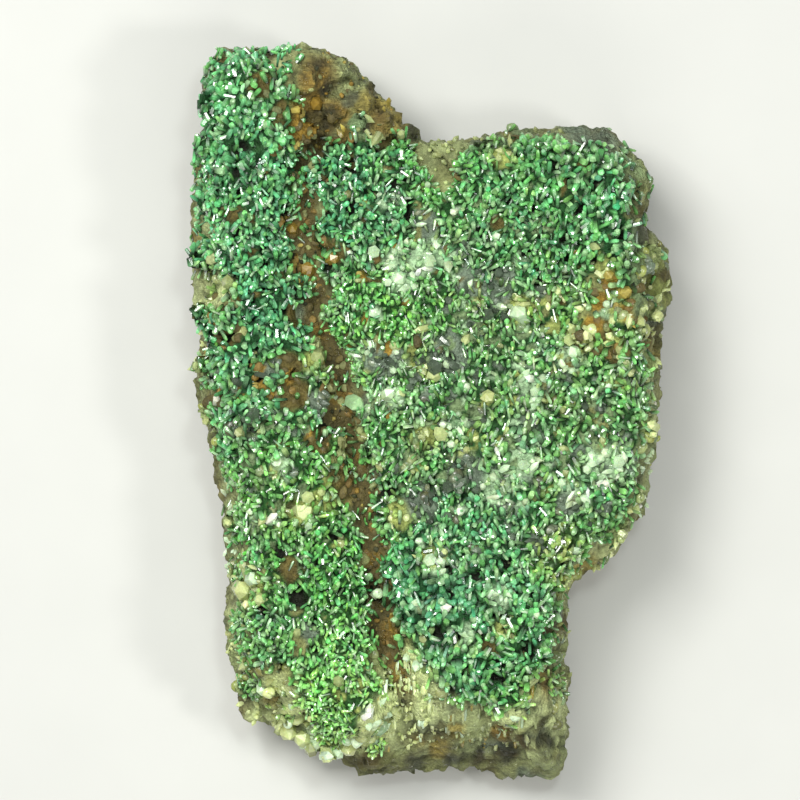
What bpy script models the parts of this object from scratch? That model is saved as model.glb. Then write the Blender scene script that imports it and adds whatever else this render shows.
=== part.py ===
"""Pyromorphite on its matrix.

A block of vein quartz and limonite lies on its broken back. Crusts of green barrel-shaped
crystals cover its upper face, parted by a bare iron-stained seam that runs down its length.
The frame is +Z up and +Y along the length, with the origin under the middle of the whole.
"""

import math
import random

import bmesh
import bpy
from mathutils import Matrix, Vector, noise
from mathutils.bvhtree import BVHTree

MM = 0.001

# Driving dimensions of the rock, in millimetres
PLATEAU_HEIGHT = 24.0
SLAB_HEIGHT = 27.0
VOXEL = 1.5
ROCK_TRIANGLES = 2400

# Below the undercut height the walls draw in, by this share of the width at the ground
UNDERCUT_HEIGHT = 9.0
UNDERCUT_SHARE = 0.075

# Roughness: how far each surface strays and over what distance, in millimetres
FACE_ROLL, FACE_ROLL_LENGTH = 0.9, 9.0
FACE_GRAIN, FACE_GRAIN_LENGTH = 0.45, 3.4
WALL_LUMP, WALL_LUMP_LENGTH = 1.5, 7.0
WALL_CHIP, WALL_CHIP_LENGTH = 0.9, 3.6
WALL_REACH = 2.5
WALL_OUTWARD_SHARE = 0.25
BACK_HOLLOW, BACK_HOLLOW_LENGTH = 1.8, 11.0
BACK_TRIM = 0.45
RIM_ROUNDING = 1.7

# The rock's edge seen from above. Each stretch has the height of its rim and how far the
# face takes to rise from that rim to the plateau, then its points, all in millimetres.
EDGE_STRETCHES = {
    "left lobe top": (21.0, 4.0, [(-33.3, 50.5), (-32.4, 53.6), (-30.0, 54.8), (-26.0, 54.4),
                                  (-21.0, 54.8), (-15.5, 54.6)]),
    "brown shoulder": (16.0, 7.0, [(-12.4, 53.4), (-9.6, 50.4), (-7.2, 48.1), (-5.9, 45.2),
                                   (-4.4, 43.5), (-2.2, 42.0)]),
    "notch": (18.0, 6.0, [(-0.7, 41.0), (3.0, 41.5), (6.0, 41.2)]),
    "right lobe top": (19.0, 5.0, [(10.9, 42.6), (16.5, 42.7), (21.5, 43.3), (26.8, 42.9),
                                   (28.6, 41.0), (31.4, 38.6)]),
    "right lobe side": (19.0, 3.0, [(32.4, 34.5), (32.2, 30.5), (32.3, 28.0)]),
    "ledge": (15.0, 2.5, [(35.4, 25.6), (35.8, 22.0), (35.3, 17.5), (34.2, 13.5), (34.2, 8.5)]),
    "right flank": (18.0, 4.0, [(33.7, 3.5), (33.7, -3.0), (32.5, -8.5), (31.6, -13.5),
                                (29.5, -17.0), (27.4, -20.6), (24.5, -22.3), (21.0, -24.2)]),
    "right foot": (14.0, 4.0, [(20.0, -26.5), (20.6, -30.0), (19.9, -37.3), (20.6, -41.0),
                               (19.9, -47.5), (19.6, -52.4)]),
    "bottom end": (9.0, 12.0, [(17.5, -54.9), (12.9, -54.2), (7.3, -52.9), (3.9, -53.7),
                               (0.7, -52.8), (-3.6, -54.0), (-9.4, -54.4)]),
    "lower left": (9.0, 9.0, [(-12.6, -53.0), (-15.3, -50.6), (-21.1, -48.6), (-26.3, -45.6),
                              (-29.4, -42.4)]),
    "left foot": (14.0, 6.0, [(-29.4, -37.4), (-30.8, -31.0), (-30.3, -25.5), (-30.5, -18.5),
                              (-31.3, -11.9)]),
    "left flank": (13.0, 5.5, [(-33.3, -3.5), (-34.6, 1.5), (-35.0, 7.5), (-34.9, 13.5)]),
    "left lobe side": (16.0, 6.5, [(-35.6, 22.5), (-35.4, 30.0), (-35.3, 38.5), (-34.0, 44.5)]),
}

# Swells and hollows of the upper face: x, y, radius and height, in millimetres
SWELLS = [
    (7.6, -27.5, 11.5, 4.5),
    (-22.0, -33.0, 9.0, 2.0),
    (-25.0, 33.0, 13.0, 1.5),
    (-7.0, 13.0, 9.0, 2.0),
    (20.0, 31.0, 11.0, 1.5),
    (13.0, 9.0, 9.0, -1.5),
    (4.0, -10.0, 6.0, -2.0),
    (3.0, 37.0, 7.0, -3.0),
    (-13.0, 48.0, 9.0, -3.0),
]

# The bare seam down the upper face, and the lower terrace beside the right lobe
SEAM = [(-15.5, 44.0), (-19.0, 36.4), (-17.7, 21.5), (-13.2, 2.2), (-8.8, -15.6),
        (-7.3, -27.5), (-4.3, -42.4), (-4.0, -50.0)]
SEAM_DEPTH = 3.6
SEAM_HALF_WIDTH = 3.4
TERRACE = [(31.0, 29.0), (38.0, 29.0), (38.0, 3.0), (32.4, 3.0)]
TERRACE_HEIGHT = 18.5

# Bare parts of the upper face, where the rock shows
BARE_PATCHES = {
    "brown patch": [(-20.6, 58.0), (-20.6, 49.5), (-17.0, 44.8), (-11.0, 45.0), (-6.0, 40.5),
                    (-2.0, 40.0), (-2.0, 58.0)],
    "quartz saddle": [(-1.5, 43.0), (7.5, 43.0), (6.5, 37.0), (1.5, 35.0)],
    "comb quartz end": [(-32.0, -42.0), (-24.8, -42.0), (-22.9, -40.5), (-18.8, -45.0),
                        (-15.5, -48.5), (-9.5, -48.5), (-6.5, -44.0), (-4.3, -41.2),
                        (0.1, -42.6), (13.5, -43.6), (16.8, -40.0), (17.6, -31.0),
                        (19.5, -26.0), (24.0, -26.0), (24.0, -60.0), (-32.0, -60.0)],
}

# Pale quartz crystals that stand in the crust, each in the cell nearest to this place: x and y
QUARTZ_IN_CRUST = [
    (-6.3, 23.0), (-2.0, 22.2), (9.0, 15.5), (2.6, 8.4), (-0.6, -3.0), (3.2, -10.6), (13.0, -7.6),
    (15.2, 4.5), (26.0, -8.4), (10.6, -27.0), (-29.0, 18.4), (-25.0, 2.0), (-19.6, -14.0),
    (-24.5, -27.0), (22.5, 12.0), (-12.0, -38.0),
]
QUARTZ_RADIUS = 1.4
QUARTZ_RISE = (3.4, 4.8)
QUARTZ_ROOT = 2.0
QUARTZ_LEAN = 0.1
QUARTZ_TIP = 1.1

# Lumps of quartz and limonite on the bare patches: x, y, radius, length
LUMPS = [
    (-18.2, 50.6, 2.1, 6.0), (-13.5, 50.8, 2.4, 6.5), (-10.6, 47.2, 2.0, 6.0),
    (-15.0, 46.6, 1.6, 5.5), (-6.6, 44.4, 1.6, 5.0), (-2.9, 41.6, 1.7, 6.0),
    (1.6, 39.2, 1.8, 6.0), (4.8, 39.0, 1.5, 6.0), (4.0, 36.6, 1.3, 5.5),
    (-26.4, -43.6, 1.7, 6.0), (-21.6, -45.8, 1.6, 6.0), (-17.8, -48.0, 1.5, 5.5),
]
LUMP_RISE = 1.8
LUMP_LEAN = 0.45
LUMP_TIP_SHARE = 0.55

# The comb of quartz columns down the slanted bottom end
COMB_START_X = -3.5
COMB_END_X = 15.5
COMB_PITCH = 2.05
COMB_TOP_Y = -41.5
COMB_RUN = (4.2, 6.3)
COMB_RADIUS = 1.15
COMB_JITTER = 0.25
COMB_TIP = 0.5

# The crusts are a warped honeycomb, with one crystal on every cell
CELL_PITCH = 4.5
BEND, BEND_LENGTH = 2.4, 14.0
JITTER, JITTER_LENGTH = 0.55, 2.1
CRUST_FLOOR_GAP = 0.5
CRUST_THICKNESS = 1.4
FLOOR_SAMPLES = 9

# A cell's centre keeps these distances to the rock's edge and the seam, and its corners these
EDGE_MARGIN, EDGE_INSET = 2.1, 1.1
SEAM_MARGIN, SEAM_HALF_GAP = 2.0, 1.15

CRYSTAL_LENGTH = (2.0, 3.7)
CRYSTAL_TAPER = (0.50, 0.62)
CRYSTAL_LEAN = 0.75
CRYSTAL_UPRIGHT = 0.25

# Far past every height and width of the specimen, for rays and cutting blocks
BEYOND = 100.0

random.seed(11)
noise.seed_set(11)


def clear_scene():
    """Remove every object that the scene holds."""
    for item in list(bpy.data.objects):
        bpy.data.objects.remove(item, do_unlink=True)


def make_collection(name):
    """Make a collection in the scene."""
    group = bpy.data.collections.new(name)
    bpy.context.scene.collection.children.link(group)
    return group


def make_material(name, colour, roughness):
    """Make a plain material of one colour."""
    material = bpy.data.materials.new(name)
    material.use_nodes = True
    shader = material.node_tree.nodes["Principled BSDF"]
    shader.inputs["Base Color"].default_value = (*colour, 1.0)
    shader.inputs["Roughness"].default_value = roughness
    shader.inputs["Metallic"].default_value = 0.0
    material.diffuse_color = (*colour, 1.0)
    return material


def evaluated_mesh(item):
    """Return the mesh of an object with its modifiers worked out."""
    depsgraph = bpy.context.evaluated_depsgraph_get()
    depsgraph.update()
    return bpy.data.meshes.new_from_object(item.evaluated_get(depsgraph))


def is_inside(x, y, polygon):
    """Tell if a point lies inside a polygon."""
    inside = False
    for (ax, ay), (bx, by) in zip(polygon, polygon[1:] + polygon[:1]):
        if (ay > y) != (by > y) and x < ax + (y - ay) / (by - ay) * (bx - ax):
            inside = not inside
    return inside


def nearest_on_path(x, y, path):
    """Find the nearest place on a path: its distance, segment, share along it, side and foot."""
    best = (1e9, 0, 0.0, 1.0, path[0])
    for index, ((ax, ay), (bx, by)) in enumerate(zip(path, path[1:])):
        dx, dy = bx - ax, by - ay
        share = max(0.0, min(1.0, ((x - ax) * dx + (y - ay) * dy) / (dx * dx + dy * dy)))
        foot = (ax + share * dx, ay + share * dy)
        distance = math.dist((x, y), foot)
        if distance < best[0]:
            side = 1.0 if dx * (y - ay) - dy * (x - ax) > 0 else -1.0
            best = (distance, index, share, side, foot)
    return best


EDGE = [point for _, _, points in EDGE_STRETCHES.values() for point in points]
EDGE_SHAPE = [(rim, run) for rim, run, points in EDGE_STRETCHES.values() for _ in points]


def edge_at(x, y):
    """Return how far inside the edge a point is, and the rim height and slope run there."""
    distance, index, share, _, _ = nearest_on_path(x, y, EDGE + EDGE[:1])
    (rim_a, run_a), (rim_b, run_b) = EDGE_SHAPE[index], EDGE_SHAPE[(index + 1) % len(EDGE)]
    rim = rim_a + (rim_b - rim_a) * share
    run = run_a + (run_b - run_a) * share
    return (distance if is_inside(x, y, EDGE) else -distance), rim, run


def face_height(x, y):
    """Return the height of the rock's upper face over a point, in millimetres."""
    depth, rim, run = edge_at(x, y)
    height = PLATEAU_HEIGHT
    for cx, cy, radius, rise in SWELLS:
        height += rise * math.exp(-((x - cx) ** 2 + (y - cy) ** 2) / radius ** 2)
    seam_distance = nearest_on_path(x, y, SEAM)[0]
    height -= SEAM_DEPTH * math.exp(-(seam_distance / SEAM_HALF_WIDTH) ** 2)
    height += FACE_ROLL * noise.noise(Vector((x, y, 3.0)) / FACE_ROLL_LENGTH)
    if is_inside(x, y, TERRACE):
        height = min(height, TERRACE_HEIGHT)
    if depth < run:
        climb = max(0.0, depth) / run
        height = rim + (height - rim) * (1.0 - (1.0 - climb) ** RIM_ROUNDING)
    return height


def add_to(group, name, mesh, material):
    """Put a mesh in the scene as a named object."""
    item = bpy.data.objects.new(name, mesh)
    item.data.materials.clear()
    item.data.materials.append(material)
    group.objects.link(item)
    return item


def make_slab(guides):
    """Make the upright block over the rock's edge, as a remeshed solid."""
    curve = bpy.data.curves.new("rock_edge", "CURVE")
    curve.dimensions = "2D"
    curve.fill_mode = "BOTH"
    curve.extrude = SLAB_HEIGHT / 2 * MM
    spline = curve.splines.new("POLY")
    spline.points.add(len(EDGE) - 1)
    spline.use_cyclic_u = True
    for point, (x, y) in zip(spline.points, EDGE):
        point.co = (x * MM, y * MM, 0.0, 1.0)
    item = bpy.data.objects.new("rock_edge", curve)
    item.location.z = SLAB_HEIGHT / 2 * MM
    guides.objects.link(item)
    mesh = evaluated_mesh(item)
    mesh.transform(Matrix.Translation((0.0, 0.0, SLAB_HEIGHT / 2 * MM)))
    bpy.data.objects.remove(item)
    solid = bmesh.new()
    solid.from_mesh(mesh)
    bmesh.ops.remove_doubles(solid, verts=solid.verts, dist=0.00001)
    bmesh.ops.recalc_face_normals(solid, faces=solid.faces)
    solid.to_mesh(mesh)
    solid.free()
    slab = bpy.data.objects.new("rock_slab", mesh)
    guides.objects.link(slab)
    remesh = slab.modifiers.new("even_grid", "REMESH")
    remesh.mode = "VOXEL"
    remesh.voxel_size = VOXEL * MM
    grid = evaluated_mesh(slab)
    bpy.data.objects.remove(slab)
    return grid


def wall_push(x, y, height):
    """Return how far a point of the broken wall strays sideways, mostly inward."""
    place = Vector((x, y, height * 1.6))
    push = noise.noise_vector(place / WALL_LUMP_LENGTH) * WALL_LUMP
    push += noise.noise_vector(place / WALL_CHIP_LENGTH) * WALL_CHIP
    push.z = 0.0
    outward = Vector((x, y, 0.0)).normalized()
    excess = max(0.0, push.dot(outward))
    return push - outward * excess * (1.0 - WALL_OUTWARD_SHARE)


def shape_rock(grid):
    """Bend the remeshed block into the rock: its upper face, its broken walls and its rough back."""
    for vertex in grid.vertices:
        x, y, z = vertex.co / MM
        share = max(0.0, min(1.0, z / SLAB_HEIGHT))
        height = share * face_height(x, y)
        depth = max(0.0, edge_at(x, y)[0])
        wall = math.exp(-(depth / WALL_REACH) ** 2) * (1.0 - share ** 4)
        waist = 1.0 - UNDERCUT_SHARE * max(0.0, 1.0 - height / UNDERCUT_HEIGHT) ** 2
        spot = Vector((x, y, 0.0)) * waist + wall_push(x, y, height) * wall
        grain = FACE_GRAIN * noise.noise((spot + Vector((0.0, 0.0, 8.0))) / FACE_GRAIN_LENGTH)
        hollow = BACK_HOLLOW * noise.noise((spot + Vector((0.0, 0.0, 40.0))) / BACK_HOLLOW_LENGTH)
        spot.z = height + grain * share + hollow * (1.0 - share) ** 3
        vertex.co = spot * MM


def make_prism(cutters, name, foot, axis, radius, length, tip):
    """Make a six-sided crystal with a pyramid tip, as a solid to be joined to the rock."""
    solid = bmesh.new()
    bmesh.ops.create_cone(solid, cap_ends=True, segments=6, radius1=radius * MM,
                          radius2=radius * MM, depth=length * MM)
    top = max(solid.faces, key=lambda face: face.calc_center_median().z)
    bmesh.ops.poke(solid, faces=[top], offset=tip * MM)
    bmesh.ops.recalc_face_normals(solid, faces=solid.faces)
    turn = Vector(axis).normalized().to_track_quat("Z", "Y").to_matrix().to_4x4()
    spin = Matrix.Rotation(random.uniform(0.0, math.pi / 3), 4, "Z")
    move = Matrix.Translation(Vector(foot) * MM)
    bmesh.ops.transform(solid, matrix=move @ turn @ spin, verts=solid.verts)
    mesh = bpy.data.meshes.new(name)
    solid.to_mesh(mesh)
    solid.free()
    item = bpy.data.objects.new(name, mesh)
    item.hide_render = True
    item.display_type = "WIRE"
    cutters.objects.link(item)


def add_quartz(cutters, gaps):
    """Place the quartz crystals that stand in gaps of the crust."""
    for index, cell in enumerate(gaps):
        x, y = warp(*cell)
        axis = (random.uniform(-QUARTZ_LEAN, QUARTZ_LEAN), random.uniform(-QUARTZ_LEAN, QUARTZ_LEAN), 1.0)
        length = QUARTZ_ROOT + random.uniform(*QUARTZ_RISE)
        middle = (x, y, face_height(x, y) - QUARTZ_ROOT + length / 2)
        make_prism(cutters, f"quartz_{index:02d}", middle, axis, QUARTZ_RADIUS, length, QUARTZ_TIP)


def add_lumps(cutters):
    """Place the stubby lumps of quartz and limonite on the bare patches."""
    for index, (x, y, radius, length) in enumerate(LUMPS):
        axis = (random.uniform(-LUMP_LEAN, LUMP_LEAN), random.uniform(-LUMP_LEAN, LUMP_LEAN), 1.0)
        middle = (x, y, face_height(x, y) + LUMP_RISE - length / 2)
        make_prism(cutters, f"lump_{index:02d}", middle, axis, radius, length, radius * LUMP_TIP_SHARE)


def add_comb(cutters):
    """Place the row of quartz columns that lie down the slanted bottom end."""
    for index in range(int((COMB_END_X - COMB_START_X) / COMB_PITCH) + 1):
        x = COMB_START_X + COMB_PITCH * index + random.uniform(-COMB_JITTER, COMB_JITTER)
        low_x = x + 2 * random.uniform(-COMB_JITTER, COMB_JITTER)
        low_y = COMB_TOP_Y - random.uniform(*COMB_RUN)
        top = Vector((x, COMB_TOP_Y, face_height(x, COMB_TOP_Y) - COMB_RADIUS / 3))
        low = Vector((low_x, low_y, face_height(low_x, low_y) - COMB_RADIUS / 9))
        axis = low - top
        make_prism(cutters, f"comb_{index:02d}", (top + low) / 2, axis, COMB_RADIUS,
                   axis.length, COMB_TIP)


def make_back_trim(guides):
    """Make the block that cuts the rock flat where it rests."""
    block = bmesh.new()
    bmesh.ops.create_cube(block, size=2 * BEYOND * MM)
    bmesh.ops.translate(block, vec=(0.0, 0.0, (BACK_TRIM - BEYOND) * MM), verts=block.verts)
    mesh = bpy.data.meshes.new("back_trim")
    block.to_mesh(mesh)
    block.free()
    trim = bpy.data.objects.new("back_trim", mesh)
    trim.hide_render = True
    trim.display_type = "WIRE"
    guides.objects.link(trim)
    return trim


def make_rock(parts, cutters, guides, gaps, material):
    """Build the rock with its quartz crystals, cut flat where it rests."""
    grid = make_slab(guides)
    shape_rock(grid)
    coarse = bpy.data.objects.new("rock_coarse", grid)
    guides.objects.link(coarse)
    thin = coarse.modifiers.new("fewer_faces", "DECIMATE")
    thin.ratio = ROCK_TRIANGLES / (2 * len(grid.polygons))
    rock = add_to(parts, "quartz_matrix", evaluated_mesh(coarse), material)
    bpy.data.objects.remove(coarse)
    add_quartz(cutters, gaps)
    add_lumps(cutters)
    add_comb(cutters)
    join = rock.modifiers.new("with_quartz", "BOOLEAN")
    join.operation = "UNION"
    join.operand_type = "COLLECTION"
    join.collection = cutters
    join.solver = "EXACT"
    cut = rock.modifiers.new("flat_back", "BOOLEAN")
    cut.operation = "DIFFERENCE"
    cut.object = make_back_trim(guides)
    cut.solver = "EXACT"
    rock.data = evaluated_mesh(rock)
    rock.modifiers.clear()
    return rock


def honeycomb():
    """List the centres of a regular honeycomb that covers the whole face."""
    row_step = CELL_PITCH * math.sqrt(3.0) / 2.0
    rows = int(max(y for _, y in EDGE) / row_step) + 2
    columns = int(max(x for x, _ in EDGE) / CELL_PITCH) + 2
    return [((column + 0.5 * (row % 2)) * CELL_PITCH, row * row_step)
            for row in range(-rows, rows + 1) for column in range(-columns, columns + 1)]


def quartz_gaps(cells):
    """Choose the cell that each pale quartz crystal stands in."""
    return [min(cells, key=lambda cell: math.dist(warp(*cell), place)) for place in QUARTZ_IN_CRUST]


def crust_cells(cells, gaps):
    """Sort the cells that bear green crystals into those left and right of the seam."""
    groups = {"left": [], "right": []}
    for cell in cells:
        x, y = warp(*cell)
        if cell in gaps or edge_at(x, y)[0] < EDGE_MARGIN:
            continue
        if is_inside(x, y, TERRACE) or any(is_inside(x, y, p) for p in BARE_PATCHES.values()):
            continue
        distance, _, _, side, _ = nearest_on_path(x, y, SEAM)
        if distance > SEAM_MARGIN:
            groups["left" if side < 0 else "right"].append(cell)
    return groups


def push_inside(x, y, group):
    """Move a point that is too near the rock's edge or the seam back over the crust's own ground."""
    distance, _, _, side, foot = nearest_on_path(x, y, SEAM)
    own = distance if (side < 0) == (group == "left") else -distance
    if own < SEAM_HALF_GAP and distance > 0.01:
        reach = SEAM_HALF_GAP / distance * (1.0 if own > 0 else -1.0)
        x, y = foot[0] + (x - foot[0]) * reach, foot[1] + (y - foot[1]) * reach
    depth = edge_at(x, y)[0]
    if depth < EDGE_INSET and abs(depth) > 0.01:
        foot = nearest_on_path(x, y, EDGE + EDGE[:1])[4]
        reach = EDGE_INSET / depth
        x, y = foot[0] + (x - foot[0]) * reach, foot[1] + (y - foot[1]) * reach
    return x, y


def warp(x, y):
    """Bend the regular honeycomb so that its rows wander and its cells differ in size."""
    bend = noise.noise_vector(Vector((x, y, 0.0)) / BEND_LENGTH) * BEND
    jitter = noise.noise_vector(Vector((x, y, 20.0)) / JITTER_LENGTH) * JITTER
    return x + bend.x + jitter.x, y + bend.y + jitter.y


def largest_patch(cells):
    """Keep only the largest set of cells that touch each other."""
    left_over = list(cells)
    best = []
    while left_over:
        patch = [left_over.pop()]
        for x, y in patch:
            near = [cell for cell in left_over if math.dist(cell, (x, y)) < CELL_PITCH * 1.1]
            left_over = [cell for cell in left_over if cell not in near]
            patch.extend(near)
        if len(patch) > len(best):
            best = patch
    return best


def height_below(tree, x, y):
    """Return the height of the rock under a point, in millimetres, or far below it past the edge."""
    hit = tree.ray_cast(Vector((x, y, BEYOND)) * MM, Vector((0.0, 0.0, -1.0)))[0]
    return hit.z / MM if hit else -BEYOND


def lay_on_rock(tree, floor_faces):
    """Rest the crust's underside on the rock, raised wherever the rock would come through it."""
    vertices = {vertex for face in floor_faces for vertex in face.verts}
    for vertex in vertices:
        ground = height_below(tree, vertex.co.x, vertex.co.y)
        vertex.co.z = max(ground, face_height(vertex.co.x, vertex.co.y) - EDGE_MARGIN)
    count = FLOOR_SAMPLES
    shares = [(a / count, b / count, (count - a - b) / count)
              for a in range(count + 1) for b in range(count + 1 - a)]
    for _ in range(3):
        for face in floor_faces:
            a, b, c = (vertex.co for vertex in face.verts)
            spots = [a * p + b * q + c * r for p, q, r in shares]
            sunk = max(0.0, max(height_below(tree, spot.x, spot.y) - spot.z for spot in spots))
            for vertex in face.verts:
                vertex.co.z += sunk
    for vertex in vertices:
        vertex.co.z += CRUST_FLOOR_GAP


def make_crust(parts, tree, group, cells, material):
    """Build one crust: a sheet that follows the rock, with a six-sided crystal on every cell."""
    solid = bmesh.new()
    for x, y in largest_patch(cells):
        bmesh.ops.create_circle(solid, cap_ends=True, segments=6, radius=CELL_PITCH / math.sqrt(3.0),
                                matrix=Matrix.Translation((x, y, 0.0)))
    bmesh.ops.remove_doubles(solid, verts=solid.verts, dist=0.05)
    bmesh.ops.recalc_face_normals(solid, faces=solid.faces)
    for vertex in solid.verts:
        vertex.co.x, vertex.co.y = push_inside(*warp(vertex.co.x, vertex.co.y), group)
    floor = list(solid.faces)
    made = bmesh.ops.extrude_face_region(solid, geom=floor, use_keep_orig=True)
    lifted = [item for item in made["geom"] if isinstance(item, bmesh.types.BMVert)]
    crests = [item for item in made["geom"] if isinstance(item, bmesh.types.BMFace)]
    triangles = bmesh.ops.triangulate(solid, faces=floor)["faces"]
    lay_on_rock(tree, triangles)
    level = {(vertex.co.x, vertex.co.y): vertex.co.z for face in triangles for vertex in face.verts}
    for vertex in lifted:
        vertex.co.z = level[(vertex.co.x, vertex.co.y)] + CRUST_THICKNESS
    bmesh.ops.recalc_face_normals(solid, faces=solid.faces)
    grow_crystals(solid, crests)
    bmesh.ops.scale(solid, vec=(MM, MM, MM), verts=solid.verts)
    bmesh.ops.recalc_face_normals(solid, faces=solid.faces)
    mesh = bpy.data.meshes.new("crust")
    solid.to_mesh(mesh)
    solid.free()
    return add_to(parts, f"pyromorphite_{group}", mesh, material)


def grow_crystals(solid, crests):
    """Draw every cell of a crust up into a leaning six-sided crystal with a flat end."""
    raised = bmesh.ops.extrude_discrete_faces(solid, faces=crests)["faces"]
    for face in raised:
        face.normal_update()
        centre = face.calc_center_median()
        normal = (face.normal + Vector((0.0, 0.0, CRYSTAL_UPRIGHT))).normalized()
        lean = Vector((random.uniform(-1.0, 1.0), random.uniform(-1.0, 1.0), 0.0)) * CRYSTAL_LEAN
        length = random.uniform(*CRYSTAL_LENGTH)
        taper = random.uniform(*CRYSTAL_TAPER)
        axis = normal * length + lean
        turn = normal.rotation_difference(axis.normalized())
        for vertex in face.verts:
            offset = vertex.co - centre
            vertex.co = centre + axis + turn @ (offset * taper)


def centre_on_origin(items):
    """Move the parts so that the origin lies under the middle of the whole."""
    corners = [vertex.co for item in items for vertex in item.data.vertices]
    low = Vector([min(corner[axis] for corner in corners) for axis in range(3)])
    high = Vector([max(corner[axis] for corner in corners) for axis in range(3)])
    shift = Matrix.Translation((-(low.x + high.x) / 2, -(low.y + high.y) / 2, -low.z))
    for item in items:
        item.data.transform(shift)


def main():
    """Build the specimen."""
    clear_scene()
    parts = make_collection("pyromorphite")
    cutters = make_collection("cutters")
    guides = make_collection("guides")
    rock_material = make_material("quartz_and_limonite", (0.30, 0.22, 0.11), 0.85)
    green_material = make_material("pyromorphite_green", (0.10, 0.32, 0.09), 0.30)
    cells = honeycomb()
    gaps = quartz_gaps(cells)
    rock = make_rock(parts, cutters, guides, gaps, rock_material)
    tree = BVHTree.FromPolygons([vertex.co for vertex in rock.data.vertices],
                                [polygon.vertices for polygon in rock.data.polygons])
    groups = crust_cells(cells, gaps)
    items = [rock]
    items.extend(make_crust(parts, tree, group, groups[group], green_material) for group in groups)
    centre_on_origin(items)


main()
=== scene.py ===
"""The looks of a pyromorphite specimen: stained rock, a druse of green crystals and pale quartz.

Sizes and places are in millimetres in the specimen's own frame, +Z up and +Y along its length,
and become metres where a mesh is made. Colours are linear red, green and blue.
"""

import logging
import math
from dataclasses import dataclass, field
from enum import Enum
from typing import Iterable, NamedTuple

import bpy
import numpy as np
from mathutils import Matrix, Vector, noise
from mathutils.bvhtree import BVHTree
from mathutils.kdtree import KDTree


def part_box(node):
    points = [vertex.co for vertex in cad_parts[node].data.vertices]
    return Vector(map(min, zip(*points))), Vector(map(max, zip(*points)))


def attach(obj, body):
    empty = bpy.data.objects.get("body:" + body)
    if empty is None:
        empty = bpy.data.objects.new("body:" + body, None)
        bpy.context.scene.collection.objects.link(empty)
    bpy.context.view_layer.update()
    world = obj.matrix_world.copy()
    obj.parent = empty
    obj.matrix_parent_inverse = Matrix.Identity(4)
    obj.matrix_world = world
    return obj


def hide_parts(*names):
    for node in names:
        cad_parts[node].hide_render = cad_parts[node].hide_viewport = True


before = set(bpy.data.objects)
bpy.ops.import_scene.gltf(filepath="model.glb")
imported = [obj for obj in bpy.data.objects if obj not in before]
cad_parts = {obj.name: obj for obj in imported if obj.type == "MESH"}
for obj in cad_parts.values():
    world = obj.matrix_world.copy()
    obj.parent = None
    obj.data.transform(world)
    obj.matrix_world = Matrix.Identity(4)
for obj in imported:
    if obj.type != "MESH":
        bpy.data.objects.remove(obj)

LOG = logging.getLogger("pyromorphite")
MM = 0.001
BODY = "root"
SEED = 11
SIDES = ("left", "right")

# Far above and below every point of the specimen, for rays
BEYOND = 100.0

Colour = tuple[float, float, float]


class Tone(Enum):
    """Colours of the specimen's minerals."""

    EMERALD = (0.120, 0.385, 0.145)
    SEA = (0.095, 0.335, 0.140)
    LEAF = (0.145, 0.440, 0.090)
    MEADOW = (0.132, 0.392, 0.113)
    MOSS = (0.153, 0.370, 0.113)
    PALE_GREEN = (0.380, 0.600, 0.310)
    GREY_GREEN = (0.140, 0.235, 0.105)
    YELLOW_GREEN = (0.320, 0.480, 0.125)
    # Near black green of the bed: painted shade in the gaps between the green crystals
    SHADE_GREEN = (0.005, 0.034, 0.007)
    MILK = (0.600, 0.790, 0.520)
    CREAM = (0.570, 0.650, 0.300)
    SAND = (0.340, 0.395, 0.175)
    TAN = (0.210, 0.225, 0.085)
    STONE = (0.180, 0.255, 0.120)
    KHAKI = (0.345, 0.420, 0.175)
    GREY = (0.145, 0.190, 0.135)
    ASH = (0.090, 0.102, 0.060)
    UMBER = (0.110, 0.088, 0.026)
    EARTH = (0.036, 0.038, 0.013)
    RUST = (0.260, 0.165, 0.028)
    OCHRE = (0.380, 0.310, 0.075)
    # Near black: painted shade in the hollows of the crusts, and dark spots on the rock
    NEAR_BLACK = (0.012, 0.014, 0.008)
    OLIVE = (0.300, 0.350, 0.100)
    FROST = (0.340, 0.500, 0.290)
    AMBER = (0.190, 0.125, 0.030)
    FRESH = (0.275, 0.670, 0.165)


class Ground(Enum):
    """Kinds of ground that show between the green crystals."""

    MILKY = "white quartz points"
    CREAMY = "cream quartz points"
    SMOKY = "clear grey quartz"
    SANDY = "tan vein quartz"
    BROWN = "brown limonite"
    RUSTY = "orange iron stain"
    HOLLOW = "dark hollow"
    STONY = "grey stone in the crusts"
    EDGE = "bare stone of the upper rim"
    LEDGE = "pale stone of the flanks"
    BARE = "bare cream slope"


@dataclass(frozen=True)
class Cover:
    """What one kind of ground looks like and what grows on it.

    Attributes:
        tone: Colour of the ground itself.
        green: Share of the green crystals that still grow there.
        haze: Colour that the green crystals there lean to.
        points: Quartz crystals on a square millimetre.
        point_tone: Colour of those crystals.
        lumps: Smooth lumps on a square millimetre.
        lump_tones: Colours of those lumps, the commoner ones more than once.
    """

    tone: Tone
    green: float
    haze: Tone
    points: float
    point_tone: Tone
    lumps: float
    lump_tones: tuple[Tone, ...]


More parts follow.
